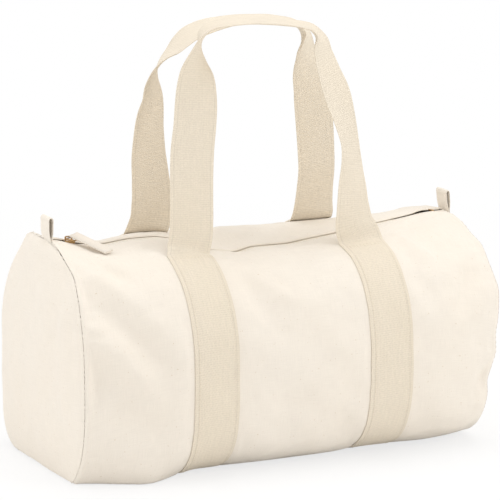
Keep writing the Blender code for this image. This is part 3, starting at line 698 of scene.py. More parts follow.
def webbing_finish(name, colour, pitch):
    """Heavy cotton webbing: cross ribs of thick weft and warp threads, a painted highlight along both
    edges, and a thin sunken line near each edge darkened with painted shade.
    """
    web = Finish(name, Sheen_Weight=0.15, Sheen_Roughness=0.6, Specular_IOR_Level=0.22)
    u, v, _ = web.parts(web.cloth_place())
    drift = web.noise(web.cloth_place((30, 90, 1)), scale=1.0)
    ribs = ((v + u * 0.03) * (2 * math.pi / pitch) + drift * 2.6).wave()
    twist = (v * (math.pi / pitch)).sine() * 1.4
    warp = (u * (2 * math.pi / WARP_PITCH) + twist + drift).wave()
    # Painted highlight: the outer edges of the webbing are made lighter
    edge = ((u.size() - EDGE_HIGHLIGHT_FROM) * 900.0).clamp()
    # Painted shade: a thin line near each edge, sunk by the bump and made darker
    line = ((u.size() - EDGE_SHADE_LINE).size() * -1600.0 + 1.0).clamp()
    slub = web.noise(web.cloth_place((300, 700, 1)), scale=1.0)
    streak = web.noise(web.cloth_place((700, 40, 1)), scale=1.0)
    grain = web.noise(web.object_place(), scale=1100.0)
    patch = web.noise(web.object_place(), scale=14.0, detail=3.0, rough=0.55)
    share = (ribs * 0.22 + warp * 0.26 + (slub - 0.5) * 0.9 + (streak - 0.5) * 0.7 + 0.22).clamp()
    base = web.mix(share, shade(colour, 0.87), shade(colour, 1.09))
    # Painted highlight on the edges
    base = web.mix(edge * 0.20, base, shade(colour, 1.09))
    # Painted shade in the thin line near each edge
    base = web.mix(line * 0.50, base, shade(colour, 0.74))
    base = web.mix(((patch - 0.42) * 1.2).clamp() * 0.5, base, shade(colour, 0.98, 0.96, 0.90))
    web.set("Base Color", base)
    web.set("Roughness", (grain * 0.14 + 0.84).clamp())
    height = ribs * 0.5 + warp * 0.6 + slub * 0.35 + grain * 0.2 - line * 0.6
    web.bump(height, distance=0.00045, strength=0.55)
    return web.done()


def tape_finish(name, colour, pitch):
    """Narrow twill tape: fine diagonal ribs."""
    tape = Finish(name, Sheen_Weight=0.12, Sheen_Roughness=0.6, Specular_IOR_Level=0.25)
    u, v, _ = tape.parts(tape.cloth_place())
    ribs = ((u + v) * (2 * math.pi / pitch)).wave()
    grain = tape.noise(tape.object_place(), scale=1000.0)
    share = (ribs * 0.6 + grain * 0.5).clamp()
    tape.set("Base Color", tape.mix(share, shade(colour, 0.86), shade(colour, 1.05)))
    tape.set("Roughness", (grain * 0.16 + 0.80).clamp())
    tape.bump(ribs + grain * 0.4, distance=0.00022, strength=0.8)
    return tape.done()


def thread_finish(name, colour):
    """Twisted cotton sewing thread."""
    thread = Finish(name, Sheen_Weight=0.1, Specular_IOR_Level=0.3)
    x, y, z = thread.parts(thread.object_place())
    twist = ((x + y * 0.7 + z * 0.9) * 9000.0).wave()
    thread.set("Base Color", thread.mix(twist, shade(colour, 0.88), shade(colour, 1.04)))
    thread.set("Roughness", twist * 0.1 + 0.68)
    thread.bump(twist, distance=0.00008, strength=0.6)
    return thread.done()


def coil_finish(name, colour):
    """Dyed-to-match moulded coil of the zip, with a dull sheen."""
    coil = Finish(name, Specular_IOR_Level=0.42)
    grain = coil.noise(coil.object_place(), scale=600.0)
    coil.set("Base Color", coil.mix(grain, shade(colour, 0.92), shade(colour, 1.04)))
    coil.set("Roughness", grain * 0.16 + 0.38)
    coil.bump(grain, distance=0.00004, strength=0.5)
    return coil.done()


def brass_finish(name, colour):
    """Cast brass, polished, with fine scratches and a little dull wear."""
    brass = Finish(name, Specular_IOR_Level=0.5, Metallic=1.0)
    wear = brass.noise(brass.object_place(), scale=160.0, detail=4.0, rough=0.6)
    lines = brass.noise(brass.object_place((400, 2600, 900)), scale=1.0)
    worn = ((wear - 0.40) * 2.2).clamp() * 0.6
    brass.set("Base Color", brass.mix(worn, shade(colour, 1.0), shade(colour, 0.62, 0.60, 0.60)))
    brass.set("Roughness", (wear * 0.22 + lines * 0.10 + 0.14).clamp())
    brass.bump(wear * 0.6 + lines * 0.4, distance=0.00003, strength=0.4)
    return brass.done()


def floor_finish(name, colour):
    """A pale floor that the camera and reflections see nearly white, and that keeps a shadow."""
    floor = Finish(name, Roughness=0.9, Specular_IOR_Level=0.0)
    grain = floor.noise(floor.object_place(), scale=2.0)
    floor.set("Base Color", floor.mix(grain, shade(colour, 0.995), shade(colour, 1.0)))
    east, north, _ = floor.parts(floor.object_place())
    away = (east * east + north * north) ** 0.5
    white = (away - FLOOR_NEAR).clamp() * (1 - NEAR_WHITE) + NEAR_WHITE
    glow = floor.node("ShaderNodeEmission", {}, {"Color": (1, 1, 1, 1)})
    mixed = floor.node("ShaderNodeMixShader", {}, [floor.seen() * white, floor.shader, glow])
    return floor.done(mixed)


# Each finish: what makes it, its material's name and the settings it reads
FINISHES = {
    "canvas": (canvas_finish, "natural_canvas", "canvas_colour", "weave_pitch"),
    "webbing": (webbing_finish, "cotton_webbing", "webbing_colour", "rib_pitch"),
    "tape": (tape_finish, "twill_tape", "tape_colour", "twill_pitch"),
    "thread": (thread_finish, "cotton_thread", "thread_colour"),
    "coil": (coil_finish, "zip_coil", "coil_colour"),
    "brass": (brass_finish, "polished_brass", "brass_colour"),
    "floor": (floor_finish, "pale_floor", "floor_colour"),
}


@cache
def finish(name):
    """The material of that name, made once from the scene's settings."""
    make, title, *settings = FINISHES[name]
    return make(title, *(getattr(bpy.context.scene.bag, key) for key in settings))


# Pieces cut from the canvas

FACING_COLUMNS = 4
FACING_UNDER, FACING_WALL = 0.0016, 0.0008
BINDING_UNDER, BINDING_WALL = 0.0030, 0.0012
BINDING_FROM, BINDING_TO = 0.2215, 0.2345


def span(values, low, high):
    """The part of sorted values from low to high, both kept."""
    kept = np.nonzero((values >= low - 1e-7) & (values <= high + 1e-7))[0]
    return slice(kept[0], kept[-1] + 1)


def column_on(side, place):
    """The column of the canvas's grid that is that many from the zip on one side."""
    return place if side == FRONT else LAST_COLUMN - place


def side_columns(side, first, last):
    """The columns on one side from the first to the one before the last."""
    ends = sorted((column_on(side, first), column_on(side, last - 1)))
    return slice(ends[0], ends[1] + 1)


def canvas_cut(name, part, face, back, material="canvas", cells=None):
    """A sheet on a part of the canvas's grid, between two heights over it."""
    form = canvas_form()
    points, normal, flat = form.points[part], form.normal[part], form.flat[part]
    return cloth(name, points, normal, face, back, flat, finish(material), cells)


def bend_lip(obj):
    """Bakes a piece of a lip's place and turn into its mesh."""
    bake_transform(obj)


def make_body():
    """The canvas round front, bottom and back, less the opening where the lips lie."""
    rows = canvas_form().rows
    cells = np.ones((len(rows) - 1, LAST_COLUMN), bool)
    mouth = span(rows, -MOUTH_HALF, MOUTH_HALF)
    opening = slice(mouth.start, mouth.stop - 1)
    lip = len(LIP_PLACES) - 1
    cells[opening, :lip] = False
    cells[opening, LAST_COLUMN - lip:] = False
    body = canvas_cut("canvas_body", np.s_[:, :], 0.0, -CANVAS_WALL, cells=cells)
    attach(body, "bag")
    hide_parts("main_panel")


def make_lips():
    """The canvas edges along the zip, left and right half, with a facing under each outer edge."""
    hinge = len(LIP_PLACES)
    for side, name in SIDES:
        for end, word in ENDS:
            rows = span(canvas_form().rows, *sorted((0, end * MOUTH_HALF)))
            part = rows, side_columns(side, 0, hinge)
            lip = canvas_cut(f"{name}_lip_{word}", part, 0.0, -CANVAS_WALL)
            bend_lip(lip)
            if end == LEFT:
                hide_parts(f"{name}_lip")
            part = rows, side_columns(side, hinge - FACING_COLUMNS, hinge + FACING_COLUMNS)
            under = -FACING_UNDER - FACING_WALL
            facing = canvas_cut(f"{name}_facing_{word}", part, -FACING_UNDER, under)
            bend_lip(facing)


def make_bindings():
    """Twill tape bound over the seam inside each end."""
    for end, word in ENDS:
        rows = span(canvas_form().rows, *sorted((end * BINDING_FROM, end * BINDING_TO)))
        part = rows, slice(len(LIP_PLACES), LAST_COLUMN + 1 - len(LIP_PLACES), 2)
        under = -BINDING_UNDER - BINDING_WALL
        tape = canvas_cut(f"{word}_binding", part, -BINDING_UNDER, under, "tape")
        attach(tape, "bag")
        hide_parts(f"{word}_seam_binding")


# Zip

TAPE_GAP, TAPE_OUT, TAPE_END = 0.0004, 0.0170, 0.2325
TAPE_DROP, TAPE_WALL, TAPE_STEP = 0.0014, 0.0006, 0.003
COIL_OUT, COIL_DROP, COIL_END = 0.0015, 0.0009, 0.2165
COIL_PITCH, COIL_RADIUS, COIL_LENGTH = 0.0014, 0.00046, 0.0030
COIL_START = {FRONT: 0.75, REAR: 0.25}
ZIP_DIP, ZIP_DIP_PLACES = 0.0026, (0.165, 0.195)
BAR_SIDES, BAR_BEVEL, BAR_RISE = 8, 0.3, 0.26


def zip_height(x, y):
    """Height of the canvas over the zip without its rolled fold, lower where the slider stops."""
    share = (np.abs(y) / half_width(x)) ** TOP_POWER
    top = WIDEST_HEIGHT + (BODY_HEIGHT - WIDEST_HEIGHT) * (1 - share) ** (1 / TOP_POWER)
    spread = np.where(np.asarray(y) < 0, SAG_SPREAD[FRONT], SAG_SPREAD[REAR])
    sag = smooth_table(ZIP_SAG, x) * hump(y, 0, spread)
    return top - sag - ZIP_DIP * ease(np.abs(x), *ZIP_DIP_PLACES)


def tape_strip(name, x_ends, y_ends, columns):
    """A strip of the zip's tape under the canvas."""
    x_low, x_high = x_ends
    x = np.linspace(x_low, x_high, max(2, int(round((x_high - x_low) / TAPE_STEP)) + 1))
    flat = flat_places(x[:, None], np.linspace(*y_ends, columns))
    height = zip_height(flat[..., 0], flat[..., 1]) - TAPE_DROP
    grid = np.concatenate([flat, height[..., None]], -1)
    normal = grid_normals(grid, 0, 0, (0, 0, 1))
    return cloth(name, grid, normal, 0.0, -TAPE_WALL, flat, finish("tape"))


def bar_mesh(radius, length, sides=BAR_SIDES):
    """A short bar along y with bevelled ends: a turn of the zip's coil, or a stitch."""
    bpy.ops.object.select_all(action="DESELECT")
    bpy.ops.mesh.primitive_cylinder_add(
        vertices=sides, radius=radius, depth=length, rotation=(math.pi / 2, 0, 0)
    )
    bar = bpy.context.object
    bpy.ops.object.transform_apply(location=True, rotation=True, scale=True)
    bpy.ops.object.mode_set(mode="EDIT")
    bpy.ops.mesh.select_all(action="DESELECT")
    mesh = bmesh.from_edit_mesh(bar.data)
    for face in mesh.faces:
        face.select = abs(face.normal.y) > 0.9
    bmesh.update_edit_mesh(bar.data)
    bpy.ops.mesh.inset(thickness=radius * BAR_BEVEL, depth=radius * BAR_RISE)
    bpy.ops.object.mode_set(mode="OBJECT")
    return bar


def copies(name, source, places, material):
    """One piece with a copy of the source's mesh at each place, a 3 by 3 turn and a point. The
    source itself goes away."""
    corners = np.array([v.co for v in source.data.vertices])
    faces = [tuple(p.vertices) for p in source.data.polygons]
    points, polygons = [], []
    for turn, at in places:
        start = len(points)
        points.extend((corners @ turn.T + at).tolist())
        polygons.extend([tuple(start + i for i in f) for f in faces])
    used = source.data
    bpy.data.objects.remove(source)
    bpy.data.meshes.remove(used)
    mesh = bpy.data.meshes.new(name)
    mesh.from_pydata(points, [], polygons)
    mesh.polygons.foreach_set("use_smooth", np.ones(len(polygons), bool))
    mesh.update()
    return new_object(name, mesh, material)


def coil_row(name, x_ends, side):
    """One side's row of coil turns."""
    low, high = x_ends
    count = int((high - low) / COIL_PITCH)
    x = low + COIL_PITCH * (np.arange(count) + COIL_START[side])
    y = side * COIL_OUT
    z = zip_height(x, np.full(count, y)) - COIL_DROP
    places = [(np.eye(3), (a, y, c)) for a, c in zip(x, z)]
    row = copies(name, bar_mesh(COIL_RADIUS, COIL_LENGTH), places, finish("coil"))
    return row


def make_zip():
    """The zip's tapes and coils: four halves under the lips and two ends fixed to the bag."""
    for side, name in SIDES:
        for end, word in ENDS:
            x_ends = sorted((0, end * MOUTH_HALF))
            y_ends = sorted((side * TAPE_GAP, side * TAPE_OUT))
            tape = tape_strip(f"{name}_tape_{word}", x_ends, y_ends, 8)
            coil = coil_row(f"{name}_coil_{word}", x_ends, side)
            for piece in (tape, coil):
                bend_lip(piece)
            if end == LEFT:
                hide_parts(f"{name}_zip_tape")
                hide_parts(f"{name}_zip_coil")
    for end, word in ENDS:
        near = end * (MOUTH_HALF + TAPE_GAP)
        tape_ends, coil_ends = sorted((near, end * TAPE_END)), sorted((near, end * COIL_END))
        tape = tape_strip(f"{word}_tape_end", tape_ends, (-TAPE_OUT, TAPE_OUT), 16)
        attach(tape, "bag")
        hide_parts(f"{word}_zip_tape")
        for side, name in SIDES:
            coil = coil_row(f"{word}_coil_{name}", coil_ends, side)
            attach(coil, "bag")
            if side == FRONT:
                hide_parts(f"{word}_zip_coil")


# End panels

PANEL_ROWS, PANEL_COLUMNS = 132, 62
PANEL_INSET, PANEL_FOOT = 0.0002, 0.0006
DOME_POWER, DOME_EDGE = 3.0, 2.5
PANEL_SWELL, SWELL_POWER = {LEFT: 0.0112, RIGHT: 0.0078}, 0.75
TURNED, TURNED_REACH, TURNED_BACK = 0.0015, 0.0022, 0.0001
THIN_CELLS = (0.15, 0.50)

# An end's folds: height, and place and spread across and upwards; the long one leans and fades
END_FOLDS = (
    (-0.0026, (-0.058, 0.014), (0.13, 0.06)),
    (0.0026, (0.050, 0.030), (0.10, 0.06)),
)
LONG_FOLD, LONG_SPREAD = 0.0030, 0.012
LONG_PLACE, LONG_LEAN, LONG_MIDDLE = -0.085, -0.05, 0.12
LONG_FOOT, LONG_TOP = (0.03, 0.09), (0.17, 0.215)


def half_outline(half):
    """Points down one half of an end's outline, from the zip to the sole."""
    foot = int(np.argmax(half[:, 2] <= half[-1, 2] + PANEL_FOOT))
    kept = half[:foot + 1]
    run = run_along(kept)
    return read_at(run[-1] * np.linspace(0, 1, PANEL_ROWS), run, kept)


def make_end_panels():
    """Round end panels that bulge a little between their turned seams."""
    form = canvas_form()
    for end, word in ENDS:
        row = 0 if end == LEFT else -1
        outline = form.points[row] - form.normal[row] * PANEL_INSET
        halves = outline[:HALF_COLUMNS], outline[HALF_COLUMNS - 1:][::-1]
        front, rear = (half_outline(half)[:, None] for half in halves)
        share = across_share(PANEL_COLUMNS) / 2 + 0.5
        grid = front + (rear - front) * share[:, None]
        y, z = grid[..., 1], grid[..., 2]
        ring = np.concatenate(halves)[::2, 1:]
        gap = np.hypot(y[..., None] - ring[:, 0], z[..., None] - ring[:, 1]).min(-1)
        level = np.clip((z - z[-1]) / (z[0] - z[-1]), 0, 1)
        dome = 1 - np.abs(2 * share - 1) ** DOME_POWER
        dome = dome * (1 - np.abs(2 * level - 1) ** DOME_POWER)
        push = end_folds(end, y, z) * np.minimum(dome * DOME_EDGE, 1)
        turned = TURNED * (1 - np.exp(-gap / TURNED_REACH)) - TURNED_BACK
        grid[..., 0] += end * (turned + PANEL_SWELL[end] * dome**SWELL_POWER + push)
        normal = panel_normals(grid, end)
        panel = cloth(f"{word}_end", grid, normal, 0.0, -CANVAS_WALL, grid[..., 1:], finish("canvas"))
        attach(panel, "bag")
        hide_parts(f"{word}_end_panel")


def panel_normals(grid, end):
    """An end panel's normals, straight along x where the grid's cells are too thin to give one."""
    along, across = np.gradient(grid, axis=0), np.gradient(grid, axis=1)
    turn = np.cross(along, across)
    lengths = np.linalg.norm(along, axis=-1) * np.linalg.norm(across, axis=-1)
    sure = ease(np.linalg.norm(turn, axis=-1) / np.maximum(lengths, 1e-12), *THIN_CELLS)[..., None]
    turn = unit(turn) * np.sign(turn[..., :1] * end)
    return unit(turn * sure + np.array([end, 0.0, 0.0]) * (1 - sure))


def end_folds(end, y, z):
    """Soft folds of an end panel."""
    place = y + END_WAVES_APART * end
    height = sum(soft_noise(place, z, size, rise, seed) for size, rise, seed in END_WAVES)
    long_fold = hump(y, LONG_PLACE + LONG_LEAN * (z - LONG_MIDDLE), LONG_SPREAD)
    height += LONG_FOLD * long_fold * ease(z, *LONG_FOOT) * (1 - ease(z, *LONG_TOP))
    for rise, across, upwards in END_FOLDS:
        height += rise * hump(y, *across) * hump(z, *upwards)
    return height


# Webbing: it lies on the canvas from one handle's last lying column round to the other handle's

WEBBING_PLACES = 16
MIDDLE = WEBBING_PLACES // 2
WEBBING_SHARE = across_share(WEBBING_PLACES)
WEBBING_ACROSS = WEBBING_SHARE * STRAP_HALF
WEBBING_HALF = WEBBING_WALL / 2 * rounded(WEBBING_SHARE, 12, 0.12)
WEBBING_GAP = 0.0003
REAR_DRIFT, DRIFT_HEIGHTS = {LEFT: 0.0075, RIGHT: 0.0045}, (0.02, 0.18)
JOIN_COLUMN = len(LIP_PLACES) + 11
LEAVING_COLUMN = len(LIP_PLACES) + 3
STRAP_COLUMNS = range(JOIN_COLUMN, LAST_COLUMN + 1 - JOIN_COLUMN)


def webbing_rows(end, columns):
    """Middles and normals of the webbing where it lies on those columns of the canvas's grid."""
    form = canvas_form()
    middles, normals = [], []
    for column in columns:
        _, y, z = form.points[len(form.rows) // 2, column]
        drift = REAR_DRIFT[end] * float(ease(z, *DRIFT_HEIGHTS)) * float(y > 0)
        x = end * STRAP_CENTRE + drift + WEBBING_ACROSS
        normal = unit(read_at(x, form.rows, form.normal[:, column]))
        lift = (WEBBING_HALF + WEBBING_GAP)[:, None]
        middles.append(read_at(x, form.rows, form.points[:, column]) + normal * lift)
        normals.append(normal)
    return np.stack(middles), np.stack(normals)


def webbing_run(column):
    """How far round the cloth a column lies at the straps."""
    form = canvas_form()
    row = np.argmin(np.abs(form.rows - STRAP_CENTRE))
    return form.flat[row, column, 1]


def make_straps():
    """Webbing sewn round the body under both handles."""
    flat = flat_places(WEBBING_ACROSS[:, None], np.array([webbing_run(c) for c in STRAP_COLUMNS]))
    half = WEBBING_HALF[:, None]
    for end, word in ENDS:
        middle, normal = (rows.swapaxes(0, 1) for rows in webbing_rows(end, STRAP_COLUMNS))
        strap = cloth(f"{word}_strap", middle, normal, half, -half, flat, finish("webbing"))
        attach(strap, "bag")
        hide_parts(f"{word}_body_strap")


HANDLE_STEP = 0.0033
HANDLE_CURL = 0.0016
BLEND_ROWS = 9

# Handle stations above the body: x, y, z, and the turn of the webbing's width from the front, in degrees
FRONT_HANDLE = (
    (-0.0985, -0.0660, 0.2350, 0), (-0.0955, -0.0638, 0.2440, 1), (-0.0930, -0.0615, 0.2620, 2),
    (-0.0912, -0.0580, 0.2850, 3), (-0.0892, -0.0535, 0.3100, 2), (-0.0862, -0.0490, 0.3360, 1),
    (-0.0810, -0.0440, 0.3620, 3), (-0.0780, -0.0405, 0.3850, 5), (-0.0760, -0.0370, 0.4030, 13),
    (-0.0750, -0.0350, 0.4170, 25), (-0.0735, -0.0330, 0.4290, 42), (-0.0715, -0.0315, 0.4390, 55),
    (-0.0680, -0.0295, 0.4500, 68), (-0.0620, -0.0285, 0.4580, 78), (-0.0530, -0.0275, 0.4630, 86),
    (-0.0380, -0.0270, 0.4660, 90), (-0.0180, -0.0265, 0.4665, 90), (0.0030, -0.0265, 0.4650, 90),
    (0.0240, -0.0270, 0.4625, 90), (0.0430, -0.0280, 0.4600, 93), (0.0575, -0.0290, 0.4565, 100),
    (0.0668, -0.0300, 0.4490, 115), (0.0708, -0.0310, 0.4395, 130), (0.0733, -0.0330, 0.4260, 135),
    (0.0786, -0.0370, 0.4055, 140), (0.0853, -0.0410, 0.3840, 145), (0.0922, -0.0450, 0.3580, 140),
    (0.0970, -0.0490, 0.3300, 136), (0.0970, -0.0530, 0.3110, 140), (0.0955, -0.0575, 0.2880, 150),
    (0.0945, -0.0620, 0.2600, 160), (0.0955, -0.0638, 0.2440, 170), (0.0985, -0.0660, 0.2350, 178),
)
REAR_HANDLE = (
    (-0.0915, 0.0668, 0.2350, 0), (-0.0890, 0.0655, 0.2430, 4), (-0.0885, 0.0615, 0.2640, 8),
    (-0.0915, 0.0570, 0.2900, 15), (-0.0955, 0.0520, 0.3190, 22), (-0.0968, 0.0470, 0.3440, 29),
    (-0.0957, 0.0440, 0.3670, 35), (-0.0954, 0.0410, 0.3820, 43), (-0.0964, 0.0390, 0.3965, 52),
    (-0.0935, 0.0370, 0.4100, 63), (-0.0850, 0.0350, 0.4225, 74), (-0.0742, 0.0330, 0.4315, 84),
    (-0.0650, 0.0310, 0.4410, 90), (-0.0550, 0.0290, 0.4490, 94), (-0.0430, 0.0280, 0.4540, 96),
    (-0.0320, 0.0280, 0.4570, 96), (-0.0150, 0.0270, 0.4600, 94), (0.0030, 0.0270, 0.4620, 92),
    (0.0260, 0.0270, 0.4620, 91), (0.0470, 0.0280, 0.4600, 92), (0.0630, 0.0290, 0.4550, 96),
    (0.0740, 0.0300, 0.4480, 106), (0.0800, 0.0310, 0.4370, 125), (0.0820, 0.0340, 0.4210, 138),
    (0.0855, 0.0370, 0.4010, 154), (0.0920, 0.0410, 0.3800, 165), (0.0985, 0.0470, 0.3460, 169),
    (0.1035, 0.0530, 0.3120, 168), (0.1060, 0.0570, 0.2870, 167), (0.1060, 0.0620, 0.2620, 168),
    (0.1058, 0.0652, 0.2450, 172), (0.1055, 0.0668, 0.2350, 178),
)


def handle_rows(side, stations):
    """Middles and normals of a handle's webbing, row by row from where it joins the left strap to
    where it joins the right one, and how far along it each row is."""
    columns = [column_on(side, c) for c in range(JOIN_COLUMN, LEAVING_COLUMN - 1, -1)]
    lying = len(columns)
    left, right = webbing_rows(LEFT, columns), webbing_rows(RIGHT, columns[::-1])
    spots = [(*spot, 0) for spot in left[0][:, MIDDLE - 1:MIDDLE + 1].mean(1)]
    spots += [*stations, *[(*spot, 180) for spot in right[0][:, MIDDLE - 1:MIDDLE + 1].mean(1)]]
    spots = np.array(spots, float)
    run = run_along(spots[:, :3])
    first, final = run[lying - 1], run[-lying]
    free = np.linspace(first, final, int((final - first) / HANDLE_STEP) + 1)[1:-1]
    at = np.r_[run[:lying], free, run[-lying:]]
    walk = np.stack([smooth_spline(run, column, at) for column in spots.T], 1)
    centre, turn = walk[:, :3], np.radians(walk[:, 3])
    way = unit(np.gradient(centre, at, axis=0))
    in_plane = unit(np.stack([way[:, 2], np.zeros(len(way)), -way[:, 0]], 1))
    across = in_plane * np.cos(turn)[:, None] + np.outer(np.sin(turn), (0.0, 1.0, 0.0))
    across = square_to(across, way)
    face_way = np.cross(across, way)
    flat_rows = centre[:, None] + across[:, None] * WEBBING_ACROSS[:, None]
    curl = HANDLE_CURL * np.sin(np.linspace(0, math.pi, len(at))) ** 0.5
    curve = curl[:, None] * (1 - WEBBING_SHARE**2)
    middle = flat_rows + face_way[:, None] * curve[..., None]
    ends = ((left, 0, lying - 1, 1), (right, len(at) - lying, len(at) - lying, -1))
    for (rows, _), start, edge, step in ends:
        middle[start:start + lying] = rows
        off = rows[edge - start] - flat_rows[edge]
        for k in range(1, BLEND_ROWS):
            middle[edge + step * k] += off * (1 - ease(k, 0, BLEND_ROWS))
    normal = grid_normals(middle, len(at) // 2, MIDDLE, face_way[len(at) // 2])
    for (_, outwards), start, _, _ in ends:
        turned = np.sign(outwards[lying // 2, MIDDLE] @ normal[start + lying // 2, MIDDLE])
        normal[start:start + lying] = outwards * turned
    return middle, normal, at


def make_handles():
    """Webbing handles that rise from the straps, lean together and turn flat over the top."""
    for (side, name), stations in zip(SIDES, (FRONT_HANDLE, REAR_HANDLE)):
        middle, normal, at = handle_rows(side, stations)
        start = webbing_run(column_on(side, JOIN_COLUMN))
        flat = flat_places(WEBBING_ACROSS, start + side * at[:, None])
        handle = cloth(
            f"{name}_webbing_handle", middle, normal, WEBBING_HALF, -WEBBING_HALF, flat,
            finish("webbing"),
        )
        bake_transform(handle)
        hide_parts(f"{name}_handle")


# Stitching

STITCH_PITCH, STITCH_LENGTH, STITCH_RADIUS, STITCH_SIDES = 0.0040, 0.0026, 0.00030, 6
STITCHED_PLACES = (3, 12)
ZIP_ROW, SEWN_TO = 6, 0.2320
CROSS_ROWS = (LEAVING_COLUMN + 2, LEAVING_COLUMN + 3)
STITCHED_FROM = 0.006


def stitches(name, lines):
    """One object of sewn stitches along lines of points, each with its normals."""
    places = []
    for points, normals in lines:
        run = run_along(points)
        at = np.arange(STITCH_PITCH / 2, run[-1], STITCH_PITCH)
        up = unit(read_at(at, run, normals))
        way = unit(read_at(at, run, np.gradient(points, run, axis=0)))
        turns = np.stack([unit(np.cross(way, up)), way, up], -1)
        places.extend(zip(turns, read_at(at, run, points)))
    stitch = bar_mesh(STITCH_RADIUS, STITCH_LENGTH, STITCH_SIDES)
    return copies(name, stitch, places, finish("thread"))


def make_stitching():
    """Stitch rows along the zip, down both edges of the straps and across their upper ends."""
    form = canvas_form()
    parts = (
        ("bag_left", -SEWN_TO, -MOUTH_HALF, None), ("left", -MOUTH_HALF, 0, LEFT),
        ("right", 0, MOUTH_HALF, RIGHT), ("bag_right", MOUTH_HALF, SEWN_TO, None),
    )
    for side, name in SIDES:
        for word, low, high, end in parts:
            line = span(form.rows, low, high), column_on(side, ZIP_ROW)
            row = stitches(f"{name}_zip_stitches_{word}", [(form.points[line], form.normal[line])])
            if end is None:
                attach(row, "bag")
            else:
                bend_lip(row)
    for end, word in ENDS:
        lines = []
        middle, normals = webbing_rows(end, STRAP_COLUMNS)
        face = middle + normals * WEBBING_HALF[:, None]
        above = np.nonzero(face[:, MIDDLE, 2] > STITCHED_FROM)[0]
        breaks = np.nonzero(np.diff(above) > 1)[0][0] + 1
        for kept in (above[:breaks], above[breaks:]):
            for place in STITCHED_PLACES:
                lines.append((face[kept, place], normals[kept, place]))
        columns = [column_on(side, c) for c in CROSS_ROWS for side, _ in SIDES]
        for points, up in zip(*webbing_rows(end, columns)):
            lines.append(((points + up * WEBBING_HALF[:, None])[2:-2], up[2:-2]))
        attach(stitches(f"{word}_strap_stitches", lines), "bag")


# Puller: its ends on the pull ring and on the canvas, and the form of its folded tape

PULLER_START, PULLER_END = np.array([-0.2046, -0.0050]), np.array([-0.1812, -0.0490])
PULLER_SHARES = (0.0, 0.10, 0.25, 0.45, 0.65, 0.82, 1.0)
RING_HEIGHT, PULLER_OVER = 0.2485, 0.0030
PULLER_STEP, PULLER_PLACES = 0.0011, 22
PULLER_HALF, PULLER_WALL = 0.0060, 0.0018
PULLER_UP = (0.10, -0.50, 0.86)
PULLER_ROUND, PULLER_THINNED = 0.0022, 0.75
ROLLED_EDGE, ROLLED_PLACE = 0.0007, (0.66, 0.22)
NEAR_TOP, NEAR_PLACE = 0.19, 0.012


def canvas_top(x, y):
    """Height of the canvas at a place near the zip."""
    points = canvas_form().points
    gap = np.hypot(points[..., 0] - x, points[..., 1] - y)
    near = (points[..., 2] > NEAR_TOP) & (gap < NEAR_PLACE)
    weight = 1 / (gap[near] ** 2 + 1e-7)
    return float((weight * points[near][:, 2]).sum() / weight.sum())


def make_puller():
    """The folded twill tape on the pull ring, which lies on the canvas, with two rolled edges."""
    end_height = canvas_top(*PULLER_END) + PULLER_OVER
    stations = []
    for share in PULLER_SHARES:
        x, y = PULLER_START + (PULLER_END - PULLER_START) * share
        hanging = RING_HEIGHT + (end_height - RING_HEIGHT) * share
        stations.append((x, y, max(canvas_top(x, y) + PULLER_OVER, hanging)))
    walk = path(stations, PULLER_STEP)
    way = unit(np.gradient(walk, axis=0))
    share = across_share(PULLER_PLACES)
    across = unit(np.cross(way, PULLER_UP))
    middle = walk[:, None] + across[:, None] * (share * PULLER_HALF)[:, None]
    normal = grid_normals(middle, 0, PULLER_PLACES // 2, (0, 0, 1))
    number = np.arange(len(walk))
    from_end = np.minimum(number, number[::-1]) * PULLER_STEP
    ends = 1 - np.clip(1 - from_end / PULLER_ROUND, 0, 1) ** 2 * PULLER_THINNED
    wall = PULLER_WALL * rounded(share, 5, 0.06)
    rolled = ROLLED_EDGE * hump(np.abs(share), *ROLLED_PLACE)
    ends = np.sqrt(ends)[:, None]
    flat = flat_places(share * PULLER_HALF, (number * PULLER_STEP)[:, None])
    tape = cloth(
        "puller_twill", middle, normal, (wall + rolled) * ends, -wall * ends, flat, finish("tape")
    )
    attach(tape, "puller")
    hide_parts("puller_tape")


# Tab loops: x of the foot and of the top, height of the foot and of the top, and half the opening
TABS = {
    LEFT: (-0.2316, -0.2312, 0.2400, 0.2690, 0.0023),
    RIGHT: (0.2358, 0.2338, 0.2360, 0.2626, 0.0018),
}
TAB_OPENING = ((0.0, 0.28), (0.2, 0.30), (0.4, 0.78), (0.6, 1.0), (0.8, 1.0))
TAB_WIDTH, TAB_WALL, TAB_PLACES = 0.0250, 0.0014, 14
TAB_STEP, TAB_OUT, CROWN_POINTS = 0.0010, 0.0012, 9


def make_tabs():
    """Folded canvas tabs that stand over both end seams, open like an eye."""
    for end, word in ENDS:
        low, high, foot, top, reach = TABS[end]
        sides = []
        for way in (-1, 1):
            for level, opened in TAB_OPENING:
                x = low + (high - low) * level + way * opened * reach
                sides.append((x, foot + (top - foot - reach) * level))
        levels = len(TAB_OPENING)
        crown = [
            (high - reach * math.cos(a), top - reach + reach * math.sin(a))
            for a in np.linspace(0, math.pi, CROWN_POINTS)
        ]
        outline = [*sides[:levels], *crown, *sides[:levels - 1:-1]]
        centre = path([(x, TAB_OUT, z) for x, z in outline], TAB_STEP)
        across = across_share(TAB_PLACES) * TAB_WIDTH / 2
        middle = centre[:, None] + across[:, None] * (0.0, 1.0, 0.0)
        row = len(centre) // 2
        outwards = np.cross((0.0, 1.0, 0.0), np.gradient(centre, axis=0)[row])
        normal = grid_normals(middle, row, TAB_PLACES // 2, outwards)
        half = TAB_WALL / 2 * rounded(across_share(TAB_PLACES), 14, 0.12)
        flat = flat_places(across, run_along(centre)[:, None])
        tab = cloth(f"{word}_canvas_tab", middle, normal, half, -half, flat, finish("canvas"))
        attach(tab, "bag")
        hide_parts(f"{word}_tab_loop")


def make_metal():
    """Brass on the CAD model's slider, pull ring and end stops."""
    for node in ("zip_slider", "pull_ring", "left_zip_stop", "right_zip_stop"):
        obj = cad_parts[node]
        obj.data.materials.clear()
        obj.data.materials.append(finish("brass"))


# Stage

